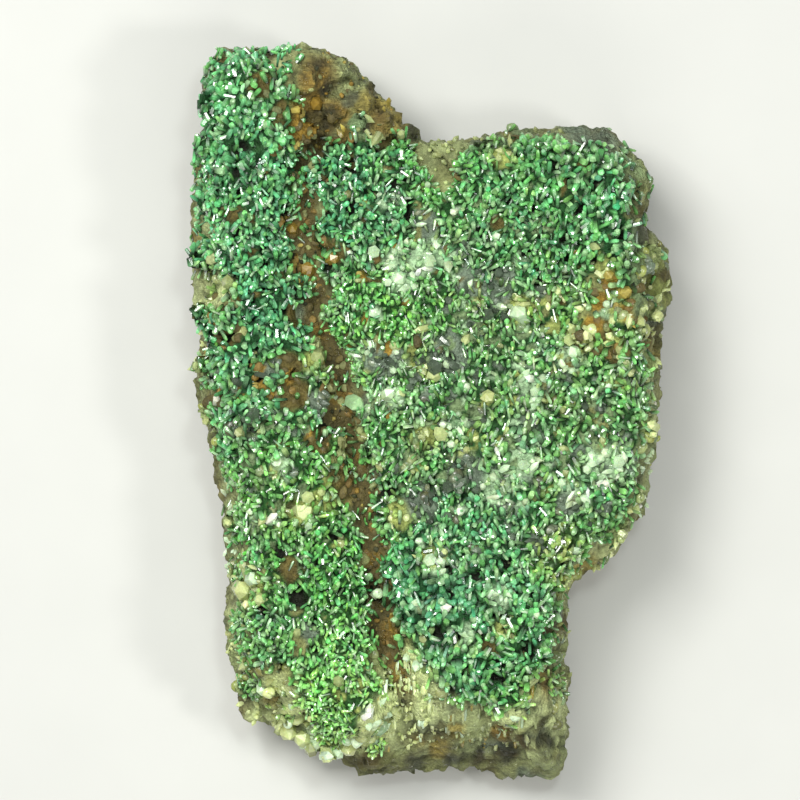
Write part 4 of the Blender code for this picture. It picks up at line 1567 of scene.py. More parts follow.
@dataclass
class RockBlock:
    """The block of stained quartz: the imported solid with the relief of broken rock."""

    layout: Layout
    voxel: float = 0.55
    lump: float = 0.42
    lump_length: float = 4.2
    chip: float = 0.24
    chip_length: float = 1.5
    crease: float = 0.38
    crease_length: float = 2.6
    streak: float = 0.34
    streak_length: float = 1.1
    streak_stretch: float = 4.5
    broken_end: tuple[float, float] = (46.0, 49.0)
    broken_height: tuple[float, float] = (1.5, 5.5)
    facets: tuple[tuple[float, float], ...] = ((6.4, 0.9), (2.8, 0.6))
    fibre: float = 0.26
    fibre_length: float = 0.75
    fibre_stretch: float = 7.0
    fibre_heading: float = -52.0
    shoulder: Spot = Spot(-11.5, 48.0, 9.5)
    still_below: float = 1.4
    bury: float = 0.6
    mesh: bpy.types.Mesh = field(init=False)
    relief: np.ndarray = field(init=False)
    piece: bpy.types.Object = field(init=False)

    def shape(self) -> None:
        """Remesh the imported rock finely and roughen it."""
        coarse = bpy.data.objects.new("rock_coarse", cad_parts["quartz_matrix"].data.copy())
        bpy.context.scene.collection.objects.link(coarse)
        remesh = coarse.modifiers.new("even_grid", "REMESH")
        remesh.mode = "VOXEL"
        remesh.voxel_size = self.voxel * MM
        depsgraph = bpy.context.evaluated_depsgraph_get()
        self.mesh = bpy.data.meshes.new_from_object(coarse.evaluated_get(depsgraph))
        bpy.data.objects.remove(coarse)
        points, normals = arrays_of(self.mesh)
        steep = 1.0 - fade(np.abs(normals[:, 2]), 0.5, 0.85)
        push = self.lump * noise_at(points, self.lump_length)
        push += self.chip * noise_at(points, self.chip_length, 5.0)
        push -= self.crease * (1.0 - np.abs(noise_at(points, self.crease_length, 9.0))) ** 6
        squeezed = points * np.array([1.0, 1.0, 1.0 / self.streak_stretch])
        push += self.streak * steep * noise_at(squeezed, self.streak_length, 2.0)
        push += self.fibre * self.fibres(points)
        still = fade(points[:, 2], 0.2, self.still_below)
        self.relief = push * still
        open_side = 0.35 + 0.65 * steep
        for size, depth in self.facets:
            push += depth * open_side * self.faceted(points / size)
        push *= still
        self.move(points + normals * push[:, None])

    @staticmethod
    def faceted(places: np.ndarray) -> np.ndarray:
        """Break a surface in flat facets, each tilted its own way.

        Args:
            places: Points, with facets of about 1 across.

        Returns:
            The height of each point, mostly from -0.5 to 0.5.
        """
        heights = []
        for place_at in places.tolist():
            middle = noise.voronoi(place_at)[1][0]
            tilt = noise.noise_vector(middle * 7.3).normalized()
            heights.append((Vector(place_at) - middle).dot(tilt))
        return np.array(heights)

    def fibres(self, points: np.ndarray) -> np.ndarray:
        """Draw the fibres of the brown shoulder.

        Args:
            points: Points of the rock.

        Returns:
            A value from -1 to 1 for each point, and 0 away from the shoulder.
        """
        heading = math.radians(self.fibre_heading)
        along = points[:, 0] * math.cos(heading) + points[:, 1] * math.sin(heading)
        across = points[:, 1] * math.cos(heading) - points[:, 0] * math.sin(heading)
        drawn = np.column_stack([along / self.fibre_stretch, across, points[:, 2]])
        return self.fibrous(points) * noise_at(drawn, self.fibre_length, 21.0)

    def fibrous(self, points: np.ndarray) -> np.ndarray:
        """Tell how fibrous the rock is at points, from 0 to 1."""
        away = np.hypot(points[:, 0] - self.shoulder.x, points[:, 1] - self.shoulder.y)
        return 1.0 - fade(away, self.shoulder.radius * 0.8, self.shoulder.radius * 1.2)

    def move(self, points: np.ndarray) -> None:
        """Give the rock's points new places, none of them under the floor."""
        points[:, 2] = np.maximum(points[:, 2], 0.0)
        self.mesh.vertices.foreach_set("co", (points * MM).astype(np.float32).ravel())
        self.mesh.update()

    def clear_stubs(self, beds: "Terrain") -> None:
        """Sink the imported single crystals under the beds, where finer ones take their place.

        Args:
            beds: The two beds.
        """
        points, _ = arrays_of(self.mesh)
        for x, y, _ in standing_quartz():
            near = np.hypot(points[:, 0] - x, points[:, 1] - y) < BIG_QUARTZ_REACH
            for index in np.nonzero(near)[0]:
                hit = beds.drop(points[index, 0], points[index, 1])
                if hit is not None:
                    points[index, 2] = min(points[index, 2], hit[0].z - self.bury)
        self.move(points)

    def dress(self, material: bpy.types.Material) -> bpy.types.Object:
        """Paint the stains and make the piece.

        Args:
            material: The rock's finish.

        Returns:
            The piece.
        """
        self.stain()
        self.mesh.shade_smooth()
        self.piece = place("rock_block", self.mesh, material)
        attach(self.piece, BODY)
        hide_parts("quartz_matrix")
        return self.piece

    def stain(self) -> None:
        """Paint quartz, limonite and rust over the rock."""
        points, normals = arrays_of(self.mesh)
        up = fade(normals[:, 2], 0.05, 0.55)
        colours = np.tile(np.array(Tone.TAN.value), (len(points), 1))
        broad = noise_at(points, 9.0, 4.0)
        middle = noise_at(points, 3.2, 6.0)
        colours = blend_towards(colours, Tone.UMBER, fade(broad + 0.4 * middle, 0.0, 0.5))
        colours = blend_towards(colours, Tone.SAND, fade(-broad + 0.5 * middle, 0.15, 0.6))
        grey = fade(noise_at(points, 6.0, 14.0), 0.2, 0.5)
        colours = blend_towards(colours, Tone.GREY, 0.8 * grey)
        vein = 1.0 - fade(np.abs(noise_at(points, 8.0, 44.0) + 0.25 * middle), 0.02, 0.12)
        colours = blend_towards(colours, Tone.CREAM, vein * 0.6)
        rust = fade(noise_at(points, 5.0, 24.0) + 0.3 * middle, 0.30, 0.55)
        colours = blend_towards(colours, Tone.RUST, rust * 0.6)
        top = self.layout.rock_stains(points[:, :2], colours)
        near_top = np.maximum(up, fade(points[:, 2], 9.0, 15.0) * 0.75)
        broken = fade(-points[:, 1], *self.broken_end) * fade(points[:, 2], *self.broken_height)
        near_top = np.maximum(near_top, broken * 0.9)
        colours = colours * (1.0 - near_top[:, None]) + top * near_top[:, None]
        # Painted shade and painted light from the relief: recesses blended towards the dark earth
        # colour, the colour scaled down in recesses and up on raised parts; the fibre term adds the
        # shoulder's real streaks
        sunk = fade(-self.relief, 0.05, 0.55)
        colours = blend_towards(colours, Tone.EARTH, 0.7 * sunk)
        shade = 1.0 + 0.3 * np.clip(self.relief, -0.5, 0.5) + 0.35 * self.fibres(points)
        paint(self.mesh, np.clip(colours * shade[:, None], 0.003, 0.9))
        paint(self.mesh, np.tile(self.fibrous(points)[:, None], (1, 3)), "fibre")

    def open_share(self, beds: "Terrain") -> np.ndarray:
        """Tell which of the rock's points lie open to the sky, from 0 to 1."""
        points, normals = arrays_of(self.mesh)
        share = np.ones(len(points))
        for index, (x, y, z) in enumerate(points.tolist()):
            hit = beds.drop(x, y)
            if hit is not None and hit[0].z > z + 0.1:
                share[index] = 0.0
        return share * fade(normals[:, 2], -0.2, 0.2)


@dataclass
class CrystalBed:
    """One crust's floor: a rolling sheet that the green crystals stand on."""

    side: str
    layout: Layout
    pitch: float = 0.42
    rise: float = 1.05
    edge_sink: float = 1.1
    edge_bury: float = 0.6
    clump: float = 0.75
    clump_length: float = 3.4
    knob: float = 0.30
    knob_length: float = 1.3
    grit: float = 0.22
    grit_length: float = 0.62
    hollow_depth: float = 1.5
    hole_steps: int = 8
    longest_drop: float = 4.0
    skirt: tuple[float, float] = (0.7, 2.6)
    border_steps: int = 3
    cover: np.ndarray = field(init=False)
    mesh: bpy.types.Mesh = field(init=False)
    piece: bpy.types.Object = field(init=False)

    def build(self, material: bpy.types.Material, rock: "Terrain") -> bpy.types.Object:
        """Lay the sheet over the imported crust's underside.

        Args:
            material: The bed's finish.
            rock: The rock, which the sheet's edge dips into.

        Returns:
            The piece.
        """
        node = f"pyromorphite_{self.side}"
        low, high = (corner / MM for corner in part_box(node))
        xs = np.arange(low.x - 1.0, high.x + 1.0, self.pitch)
        ys = np.arange(low.y - 1.0, high.y + 1.0, self.pitch)
        grid_x, grid_y = np.meshgrid(xs, ys, indexing="ij")
        floor = self.underside(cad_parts[node].data, grid_x, grid_y)
        filled = floor
        for _ in range(self.hole_steps):
            filled = self.grow(filled)
        inside = ~np.isnan(floor)
        for x, y, _ in standing_quartz():
            inside |= (np.hypot(grid_x - x, grid_y - y) < BIG_QUARTZ_REACH) & ~np.isnan(filled)
        border = inside
        for _ in range(self.border_steps):
            border = self.neighbours(border.astype(float)).max(axis=0) > 0.5
        height = self.roll(np.where(border, filled, np.nan), inside, grid_x, grid_y)
        self.dip(height, inside, border, grid_x, grid_y, rock)
        points = np.column_stack([grid_x.ravel(), grid_y.ravel(), height.ravel()])
        self.mesh, kept, rim = self.sheet(points, ~np.isnan(height))
        self.cover = np.append(self.weight(inside).ravel()[kept], np.zeros(len(rim)))
        paint(self.mesh, self.layout.bed_tones(points[np.append(kept, rim), :2]))
        self.mesh.shade_smooth()
        self.piece = place(f"crystal_bed_{self.side}", self.mesh, material)
        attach(self.piece, BODY)
        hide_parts(node)
        return self.piece

    @staticmethod
    def underside(crust: bpy.types.Mesh, grid_x: np.ndarray, grid_y: np.ndarray) -> np.ndarray:
        """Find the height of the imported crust's underside.

        Args:
            crust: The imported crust.
            grid_x: Places to look at.
            grid_y: Places to look at.

        Returns:
            The heights, not a number where there is no crust.
        """
        tree = BVHTree.FromPolygons([vertex.co / MM for vertex in crust.vertices],
                                    triangles_of(crust).tolist())
        upward = Vector((0.0, 0.0, 1.0))
        heights = []
        for x, y in zip(grid_x.ravel().tolist(), grid_y.ravel().tolist()):
            hit = tree.ray_cast(Vector((x, y, -BEYOND)), upward)[0]
            heights.append(hit.z if hit else math.nan)
        return np.array(heights).reshape(grid_x.shape)

    def weight(self, inside: np.ndarray) -> np.ndarray:
        """Grade the sheet from 0 past its edge to 1 well inside it."""
        share = inside.astype(float)
        for _ in range(3):
            share = self.neighbours(share).mean(axis=0)
        return fade(share, 0.35, 0.95)

    def roll(self, floor: np.ndarray, inside: np.ndarray, grid_x: np.ndarray,
             grid_y: np.ndarray) -> np.ndarray:
        """Raise the sheet over the rock and make it roll.

        Args:
            floor: Height of the crust's underside.
            inside: Which places lie in the crust.
            grid_x: The places.
            grid_y: The places.

        Returns:
            Height of the sheet.
        """
        flat = np.column_stack([grid_x.ravel(), grid_y.ravel(), np.zeros(grid_x.size)])
        weight = self.weight(inside)
        rough = self.layout.green_share(flat[:, :2]).reshape(weight.shape)
        hollow = self.layout.ground_weights(flat[:, :2])[Ground.HOLLOW].reshape(weight.shape)
        lift = -self.edge_sink + (self.edge_sink + self.rise - self.hollow_depth * hollow) * weight
        lift += self.clump * weight * noise_at(flat, self.clump_length, 7.0).reshape(weight.shape)
        fine = self.knob * noise_at(flat, self.knob_length, 11.0)
        fine += self.grit * noise_at(flat, self.grit_length, 19.0)
        return floor + lift + weight * (0.5 + 0.5 * rough) * fine.reshape(weight.shape)

    def dip(self, height: np.ndarray, inside: np.ndarray, border: np.ndarray,
            grid_x: np.ndarray, grid_y: np.ndarray, rock: "Terrain") -> None:
        """Bury the sheet's edge in the rock, and drop what hangs past the rock.

        Args:
            height: Height of the sheet, which changes.
            inside: Which places lie in the crust.
            border: Which places lie in the crust or next to it.
            grid_x: The places.
            grid_y: The places.
            rock: The rock.
        """
        for i, j in zip(*np.nonzero(border & ~inside)):
            hit = rock.drop(grid_x[i, j], grid_y[i, j])
            if hit is None or height[i, j] - hit[0].z > self.longest_drop:
                height[i, j] = math.nan
            else:
                height[i, j] = min(height[i, j], hit[0].z - self.edge_bury)

    @staticmethod
    def neighbours(grid: np.ndarray) -> np.ndarray:
        """Stack a grid with its eight shifted copies."""
        wide = np.pad(grid, 1, mode="edge")
        rows, columns = grid.shape
        return np.stack([wide[i:i + rows, j:j + columns] for i in range(3) for j in range(3)])

    def grow(self, floor: np.ndarray) -> np.ndarray:
        """Carry the floor's height one cell past its edge."""
        stack = self.neighbours(floor)
        known = ~np.isnan(stack)
        total = np.where(known, stack, 0.0).sum(axis=0)
        count = known.sum(axis=0)
        filled = np.where(count > 0, total / np.maximum(count, 1), np.nan)
        return np.where(np.isnan(floor), filled, floor)

    def sheet(self, points: np.ndarray,
              known: np.ndarray) -> tuple[bpy.types.Mesh, np.ndarray, np.ndarray]:
        """Join the known points of a grid in a sheet with a skirt along its edge.

        Args:
            points: All the grid's points, row by row.
            known: Which of them have a height.

        Returns:
            The mesh, the indices of the points that it keeps, and those on its edge.
        """
        rows, columns = known.shape
        index = np.arange(rows * columns).reshape(rows, columns)
        whole = known[:-1, :-1] & known[1:, :-1] & known[1:, 1:] & known[:-1, 1:]
        quads = np.column_stack([index[:-1, :-1][whole], index[1:, :-1][whole],
                                 index[1:, 1:][whole], index[:-1, 1:][whole]])
        quads = quads[np.ptp(points[quads][:, :, 2], axis=1) < self.longest_drop]
        kept = np.unique(quads)
        edges = np.concatenate([quads[:, [k, (k + 1) % 4]] for k in range(4)])
        _, where, uses = np.unique(np.sort(edges, axis=1), axis=0, return_index=True,
                                   return_counts=True)
        border = edges[where[uses == 1]]
        rim = np.unique(border)
        inwards = np.zeros((rows * columns, 2))
        middles = points[quads][:, :, :2].mean(axis=1)
        for corner in quads.T:
            np.add.at(inwards, corner, middles - points[corner, :2])
        inwards = inwards[rim] / np.maximum(np.linalg.norm(inwards[rim], axis=1), 1e-9)[:, None]
        inset, depth = self.skirt
        low = points[rim] + np.column_stack([inwards * inset, np.full(len(rim), -depth)])
        renumber = np.full(rows * columns, -1)
        renumber[kept] = np.arange(len(kept))
        under = np.full(rows * columns, -1)
        under[rim] = len(kept) + np.arange(len(rim))
        walls = np.column_stack([renumber[border[:, 1]], renumber[border[:, 0]],
                                 under[border[:, 0]], under[border[:, 1]]])
        mesh = mesh_from("bed", np.concatenate([points[kept], low]), [renumber[quads], walls])
        return mesh, kept, rim


# Where green crystals also coat the rock's upper rims; size is the share that grows there
RIM_WASHES: tuple[Wash, ...] = (
    Wash(-30.0, 52.0, 9.0, Tone.EMERALD, 1.0),
    Wash(-24.0, 54.0, 5.0, Tone.EMERALD, 0.9),
    Wash(-35.0, 40.0, 8.0, Tone.EMERALD, 0.9),
    Wash(-35.5, 28.0, 7.0, Tone.EMERALD, 0.7),
    Wash(-35.0, 10.0, 6.0, Tone.EMERALD, 0.4),
    Wash(-33.0, -4.0, 7.0, Tone.MOSS, 0.14),
    Wash(-30.0, -18.0, 6.0, Tone.MOSS, 0.12),
    Wash(-30.0, -32.0, 7.0, Tone.MOSS, 0.14),
    Wash(-28.0, -42.0, 5.0, Tone.MOSS, 0.12),
    Wash(31.0, 37.0, 4.0, Tone.EMERALD, 0.35),
    Wash(15.0, 42.0, 5.0, Tone.MEADOW, 0.08),
    Wash(33.0, 32.5, 3.6, Tone.EMERALD, 0.35),
    Wash(33.5, 22.0, 4.0, Tone.MOSS, 0.07),
    Wash(32.5, 13.0, 4.0, Tone.MOSS, 0.10),
    Wash(33.0, 0.0, 7.0, Tone.MOSS, 0.08),
    Wash(31.5, -12.0, 7.0, Tone.MOSS, 0.08),
    Wash(24.5, -21.5, 5.0, Tone.MEADOW, 0.05),
    Wash(20.0, -39.5, 2.6, Tone.LEAF, 0.8),
    Wash(20.5, -30.0, 4.0, Tone.MOSS, 0.15),
)


@dataclass
class GreenDruse:
    """The thousands of barrel-shaped crystals that cover the beds and the upper rims."""

    layout: Layout
    terrain: Terrain
    spacing: float = 0.53
    tries: int = 10
    slender_length: tuple[float, float] = (1.5, 2.9)
    slender_radius: tuple[float, float] = (0.19, 0.33)
    stubby_length: tuple[float, float] = (1.2, 2.3)
    stubby_radius: tuple[float, float] = (0.33, 0.50)
    slender_share: float = 0.62
    sunk_share: float = 0.30
    steep_share: float = 0.12
    flattest: float = 88.0
    steepest: float = 14.0
    aligned_share: float = 0.5
    aligned_spread: float = 38.0
    rim_size: float = 0.85
    lump_reach: float = 0.85
    overhang: float = 0.45
    seam_share: float = 0.25
    seam_reach: float = 2.8
    least_share: float = 0.03
    rim_tries: int = 30000

    def crystals(self, ways: Ways, draw: np.random.Generator, scale: float = 1.0) -> Bunch:
        """Give each root a crystal, and leave out those that stick out past the rock.

        Args:
            ways: Roots and normals.
            draw: Source of the random numbers.
            scale: Size as a share of the usual one.

        Returns:
            The crystals.
        """
        count = len(ways.points)
        tones, sizes = self.layout.green_tones(ways.points[:, :2])
        sizes = sizes * scale
        steep = draw.random(count) < self.steep_share
        tilt = np.where(steep, draw.uniform(self.steepest, 35.0, count),
                        draw.uniform(48.0, self.flattest, count))
        slender = draw.random(count) < self.slender_share + 1.2 * (1.0 - sizes)
        lengths = sizes * np.where(slender, draw.uniform(*self.slender_length, count),
                                   draw.uniform(*self.stubby_length, count))
        radii = sizes * np.where(slender, draw.uniform(*self.slender_radius, count),
                                 draw.uniform(*self.stubby_radius, count))
        axes = lean_from(ways.normals, np.radians(tilt), self.headings(count, draw))
        for step in range(3):
            out = ~self.stays_in(ways.points + axes * lengths[:, None] * (1.0 - self.sunk_share))
            if step < 2:
                again = lean_from(ways.normals, np.radians(tilt), draw.uniform(0, math.tau, count))
                axes[out] = again[out]
        roots = ways.points - axes * (lengths * self.sunk_share)[:, None]
        spins = draw.uniform(0.0, math.tau, count)
        colours = self.shades(self.layout.hazed(ways.points[:, :2], tones), draw)
        kept = ~out
        return Bunch(Form.BARREL, roots[kept], axes[kept], spins[kept], radii[kept],
                     lengths[kept], colours[kept])

    def headings(self, count: int, draw: np.random.Generator) -> np.ndarray:
        """Draw the directions in which crystals lean, many of them along the specimen."""
        spread = math.radians(self.aligned_spread)
        along = draw.choice([math.pi / 2, -math.pi / 2], count) + draw.uniform(-spread, spread, count)
        aligned = draw.random(count) < self.aligned_share
        return np.where(aligned, along, draw.uniform(0.0, math.tau, count))

    def stays_in(self, tips: np.ndarray) -> np.ndarray:
        """Tell which tips stay over the rock, but for a small overhang.

        Args:
            tips: Tips of the crystals.

        Returns:
            True for those that do.
        """
        flat = tips[:, :2]
        inward = flat * (1.0 - self.overhang / np.maximum(np.linalg.norm(flat, axis=1), 1.0))[:, None]
        return np.array([self.terrain.covers(x, y) for x, y in inward.tolist()])

    @staticmethod
    def shades(tones: np.ndarray, draw: np.random.Generator) -> np.ndarray:
        """Vary each crystal's colour about the shade of its place.

        Args:
            tones: Shades of the places.
            draw: Source of the random numbers.

        Returns:
            The crystals' colours.
        """
        count = len(tones)
        bright = np.exp(0.32 * draw.standard_normal(count))[:, None]
        warm = 1.0 + 0.15 * draw.standard_normal((count, 3)) * np.array([1.0, 0.2, 0.8])
        colours = tones * bright * warm
        kind = draw.random(count)
        colours = blend_towards(colours, Tone.PALE_GREEN, np.where(kind < 0.12, 0.7, 0.0))
        colours = blend_towards(colours, Tone.LEAF, np.where(kind > 0.90, 0.6, 0.0))
        return np.clip(colours, 0.004, 0.85)

    def roots_on(self, bed: CrystalBed, draw: np.random.Generator) -> Ways:
        """Choose where crystals stand on a bed.

        Args:
            bed: The bed.
            draw: Source of the random numbers.

        Returns:
            The roots, spaced as the crystals' sizes ask.
        """
        covered = fade(bed.cover, 0.02, 0.3)
        count = int(self.tries * len(bed.cover) * bed.pitch ** 2 / self.spacing ** 2)
        ways = self.spaced(sample_surface(bed.mesh, covered, count, draw))
        kept = draw.random(len(ways.points)) < self.layout.green_share(ways.points[:, :2])
        return Ways(ways.points[kept], ways.normals[kept])

    def roots_on_rock(self, rock: RockBlock, open_share: np.ndarray,
                      draw: np.random.Generator) -> Ways:
        """Choose where smaller crystals stand on the rock's rims and in the seam.

        Args:
            rock: The rock.
            open_share: Which of its points lie open to the sky.
            draw: Source of the random numbers.

        Returns:
            The roots.
        """
        points, _ = arrays_of(rock.mesh)
        share = np.zeros(len(points))
        for wash in RIM_WASHES:
            away = np.hypot(points[:, 0] - wash.x, points[:, 1] - wash.y) / wash.radius
            share = np.maximum(share, wash.size * (1.0 - fade(away, 0.7, 1.1)))
        share *= fade(noise_at(points, 2.2, 41.0), -0.45, 0.1)
        near = 1.0 - fade(distance_to_path(points[:, :2], SEAM), self.seam_reach * 0.7, self.seam_reach)
        near *= fade(points[:, 1], -44.0, -40.0) * (1.0 - fade(points[:, 1], 42.0, 44.0))
        share = np.maximum(share, self.seam_share * near * fade(noise_at(points, 2.0, 43.0), -0.3, 0.2))
        high = fade(points[:, 2] + 1.5 * noise_at(points, 4.0, 31.0), 13.0, 20.0)
        share *= open_share * high
        ways = self.spaced(sample_surface(rock.mesh, (share > self.least_share) + 1e-12,
                                          self.rim_tries, draw))
        tree = KDTree(len(points))
        for index, spot in enumerate(points.tolist()):
            tree.insert(spot, index)
        tree.balance()
        nearest = [tree.find(root)[1] for root in ways.points.tolist()]
        kept = draw.random(len(nearest)) < share[nearest]
        return Ways(ways.points[kept], ways.normals[kept])

    def clear_of(self, ways: Ways, bodies: list[Settled]) -> Ways:
        """Leave out the roots that lie under a lump.

        Args:
            ways: The roots.
            bodies: The lumps.

        Returns:
            The roots that stay.
        """
        places = np.concatenate([group.places for group in bodies])
        radii = np.concatenate([group.radii for group in bodies]) * self.lump_reach
        tree = KDTree(len(places))
        for index, spot in enumerate(places.tolist()):
            tree.insert(spot, index)
        tree.balance()
        widest = float(radii.max())
        free = [all(gap > radii[index] for _, index, gap in tree.find_range(root, widest))
                for root in ways.points.tolist()]
        return Ways(ways.points[free], ways.normals[free])

    def spaced(self, ways: Ways) -> Ways:
        """Thin roots out until none are too close."""
        _, sizes = self.layout.green_tones(ways.points[:, :2])
        chosen = keep_apart(ways.points, self.spacing * sizes)
        return Ways(ways.points[chosen], ways.normals[chosen])

    def plant(self, name: str, bunch: Bunch, material: bpy.types.Material,
              draw: np.random.Generator) -> bpy.types.Object:
        """Make a piece of a bunch of crystals.

        Args:
            name: Name of the piece.
            bunch: Its crystals.
            material: Their finish.
            draw: Source of the random numbers.

        Returns:
            The piece.
        """
        piece = place(name, bunch.mesh(name, draw), material)
        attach(piece, BODY)
        return piece


# Where quartz crystals stand on bare rock; size is their number on a square millimetre
ROCK_QUARTZ: tuple[Wash, ...] = (
    Wash(3.0, 38.0, 5.5, Tone.SAND, 0.22),
    Wash(14.0, 41.5, 7.0, Tone.SAND, 0.08),
    Wash(25.0, 41.0, 6.0, Tone.FROST, 0.08),
    Wash(-7.0, 45.0, 4.0, Tone.OCHRE, 0.12),
    Wash(33.5, 16.0, 8.0, Tone.CREAM, 0.10),
    Wash(32.0, -6.0, 10.0, Tone.MILK, 0.18),
    Wash(26.0, -20.0, 6.0, Tone.CREAM, 0.18),
    Wash(20.0, -33.0, 8.0, Tone.SAND, 0.12),
    Wash(-34.0, 8.0, 10.0, Tone.CREAM, 0.20),
    Wash(-31.0, -18.0, 10.0, Tone.MILK, 0.20),
    Wash(-27.0, -38.0, 8.0, Tone.CREAM, 0.20),
    Wash(-22.0, -45.0, 6.0, Tone.CREAM, 0.30),
    Wash(-16.3, -49.5, 4.0, Tone.MILK, 0.80),
    Wash(-6.0, -44.0, 6.0, Tone.CREAM, 0.45),
)


@dataclass
class QuartzPoints:
    """Quartz crystals that stand in gaps of the green druse and on bare rock."""

    layout: Layout
    spacing: float = 0.8
    length: tuple[float, float] = (1.3, 2.6)
    radius: tuple[float, float] = (0.34, 0.74)
    tilt: tuple[float, float] = (8.0, 70.0)
    sunk_share: float = 0.34
    slimmest: float = 0.42
    rock_size: float = 0.6
    big_radius: tuple[float, float] = (0.85, 1.15)
    big_length: tuple[float, float] = (3.2, 3.9)
    big_tilt: float = 14.0
    block_tilt: tuple[float, float] = (18.0, 50.0)
    block_length: float = 2.5
    block_sunk: float = 0.38

    def on_bed(self, bed: CrystalBed, grounds: list[Ground],
               draw: np.random.Generator) -> tuple[Ways, np.ndarray]:
        """Choose where crystals stand on a bed.

        Args:
            bed: The bed.
            grounds: Kinds of ground to look at.
            draw: Source of the random numbers.

        Returns:
            The roots and the crystals' colours.
        """
        points, _ = arrays_of(bed.mesh)
        weights = self.layout.ground_weights(points[:, :2])
        rates = {ground: COVERS[ground].points for ground in grounds}
        density = sum(weights[ground] * rate for ground, rate in rates.items())
        density = density * fade(bed.cover, 0.02, 0.3)
        ways = sample_surface(bed.mesh, density + 1e-9, expected_count(bed.mesh, density), draw)
        chosen = keep_apart(ways.points, np.full(len(ways.points), self.spacing))
        ways = Ways(ways.points[chosen], ways.normals[chosen])
        found = self.layout.ground_weights(ways.points[:, :2])
        scores = np.column_stack([found[ground] * rate for ground, rate in rates.items()])
        palette = np.array([COVERS[ground].point_tone.value for ground in grounds])
        return ways, palette[scores.argmax(axis=1)]

    def on_rock(self, rock: RockBlock, open_share: np.ndarray,
                draw: np.random.Generator) -> tuple[Ways, np.ndarray]:
        """Choose where small crystals stand on bare rock.

        Args:
            rock: The rock.
            open_share: Which of its points lie open to the sky.
            draw: Source of the random numbers.

        Returns:
            The roots and the crystals' colours.
        """
        points, _ = arrays_of(rock.mesh)
        densities = np.array([self.rock_density(points, wash) for wash in ROCK_QUARTZ])
        density = densities.max(axis=0) * open_share * fade(points[:, 2], 9.0, 13.0)
        ways = sample_surface(rock.mesh, density + 1e-9, expected_count(rock.mesh, density), draw)
        scores = np.array([self.rock_density(ways.points, wash) for wash in ROCK_QUARTZ])
        palette = np.array([wash.tone.value for wash in ROCK_QUARTZ])
        return ways, palette[scores.argmax(axis=0)]

    @staticmethod
    def rock_density(points: np.ndarray, wash: Wash) -> np.ndarray:
        """Tell how many crystals a wash puts on each square millimetre at points."""
        away = np.hypot(points[:, 0] - wash.x, points[:, 1] - wash.y) / wash.radius
        return wash.size * (1.0 - fade(away, 0.6, 1.1))

    def stand(self, ways: Ways, tones: np.ndarray, draw: np.random.Generator,
              scale: float = 1.0) -> Bunch:
        """Stand a crystal on each root.

        Args:
            ways: Roots and normals.
            tones: Colours of the crystals.
            draw: Source of the random numbers.
            scale: Size as a share of the usual one.

        Returns:
            The crystals.
        """
        count = len(ways.points)
        tilt = np.radians(draw.uniform(*self.tilt, count))
        axes = lean_from(ways.normals, tilt, draw.uniform(0.0, math.tau, count))
        lengths = draw.uniform(*self.length, count) * scale
        radii = np.minimum(draw.uniform(*self.radius, count) * scale, lengths * self.slimmest)
        roots = ways.points - axes * (lengths * self.sunk_share)[:, None]
        shade = np.exp(0.2 * draw.standard_normal(count))[:, None]
        return Bunch(Form.POINT, roots, axes, draw.uniform(0.0, math.tau, count), radii,
                     lengths, np.clip(tones * shade, 0.01, 0.85))

    def big_ones(self, beds: Terrain, smoky: bool, draw: np.random.Generator) -> Bunch:
        """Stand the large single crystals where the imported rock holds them.

        Args:
            beds: The two beds.
            smoky: True for the smoky ones, False for all the others.
            draw: Source of the random numbers.

        Returns:
            The crystals.
        """
        chosen = [(x, y, ground) for x, y, ground in standing_quartz()
                  if (ground is Ground.SMOKY) == smoky]
        landed = [beds.drop(x, y) for x, y, _ in chosen]
        points = np.array([hit[0] for hit in landed])
        upright = np.tile([0.0, 0.0, 1.0], (len(chosen), 1))
        tilt = np.radians(draw.uniform(0.0, self.big_tilt, len(chosen)))
        axes = lean_from(upright, tilt, draw.uniform(0.0, math.tau, len(chosen)))
        lengths = draw.uniform(*self.big_length, len(chosen))
        tones = np.array([COVERS[ground].point_tone.value for _, _, ground in chosen])
        return Bunch(Form.POINT, points - axes * (lengths * self.sunk_share)[:, None], axes,
                     draw.uniform(0.0, math.tau, len(chosen)),
                     draw.uniform(*self.big_radius, len(chosen)), lengths, tones)

    def blocks(self, ground: Terrain, draw: np.random.Generator) -> Bunch:
        """Set the blocks that stand out one by one.

        Args:
            ground: The rock and the beds.
            draw: Source of the random numbers.

        Returns:
            The blocks.
        """
        count = len(BLOCKS)
        points = np.array([ground.drop(block.x, block.y)[0] for block in BLOCKS])
        tilt = np.radians(draw.uniform(*self.block_tilt, count))
        upright = np.tile([0.0, 0.0, 1.0], (count, 1))
        axes = lean_from(upright, tilt, draw.uniform(0.0, math.tau, count))
        radii = np.array([block.radius for block in BLOCKS])
        lengths = radii * self.block_length
        tones = np.array([block.tone.value for block in BLOCKS])
        return Bunch(Form.POINT, points - axes * (lengths * self.block_sunk)[:, None], axes,
                     draw.uniform(0.0, math.tau, count), radii, lengths, tones)

    def plant(self, name: str, bunches: list[Bunch], material: bpy.types.Material,
              draw: np.random.Generator) -> bpy.types.Object:
        """Make one piece of several bunches.

        Args:
            name: Name of the piece.
            bunches: Its bunches, all of one form.
            material: The crystals' finish.
            draw: Source of the random numbers.

        Returns:
            The piece.
        """
        piece = place(name, joined(bunches).mesh(name, draw), material)
        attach(piece, BODY)
        return piece


def expected_count(mesh: bpy.types.Mesh, density: np.ndarray) -> int:
    """Add up a density over a mesh.

    Args:
        mesh: The surface.
        density: Number on a square millimetre, at each point.

    Returns:
        The whole number.
    """
    points, _ = arrays_of(mesh)
    corners = triangles_of(mesh)
    a, b, c = (points[corners[:, index]] for index in range(3))
    area = np.linalg.norm(np.cross(b - a, c - a), axis=1) / 2
    return max(1, round(float((area * density[corners].mean(axis=1)).sum())))


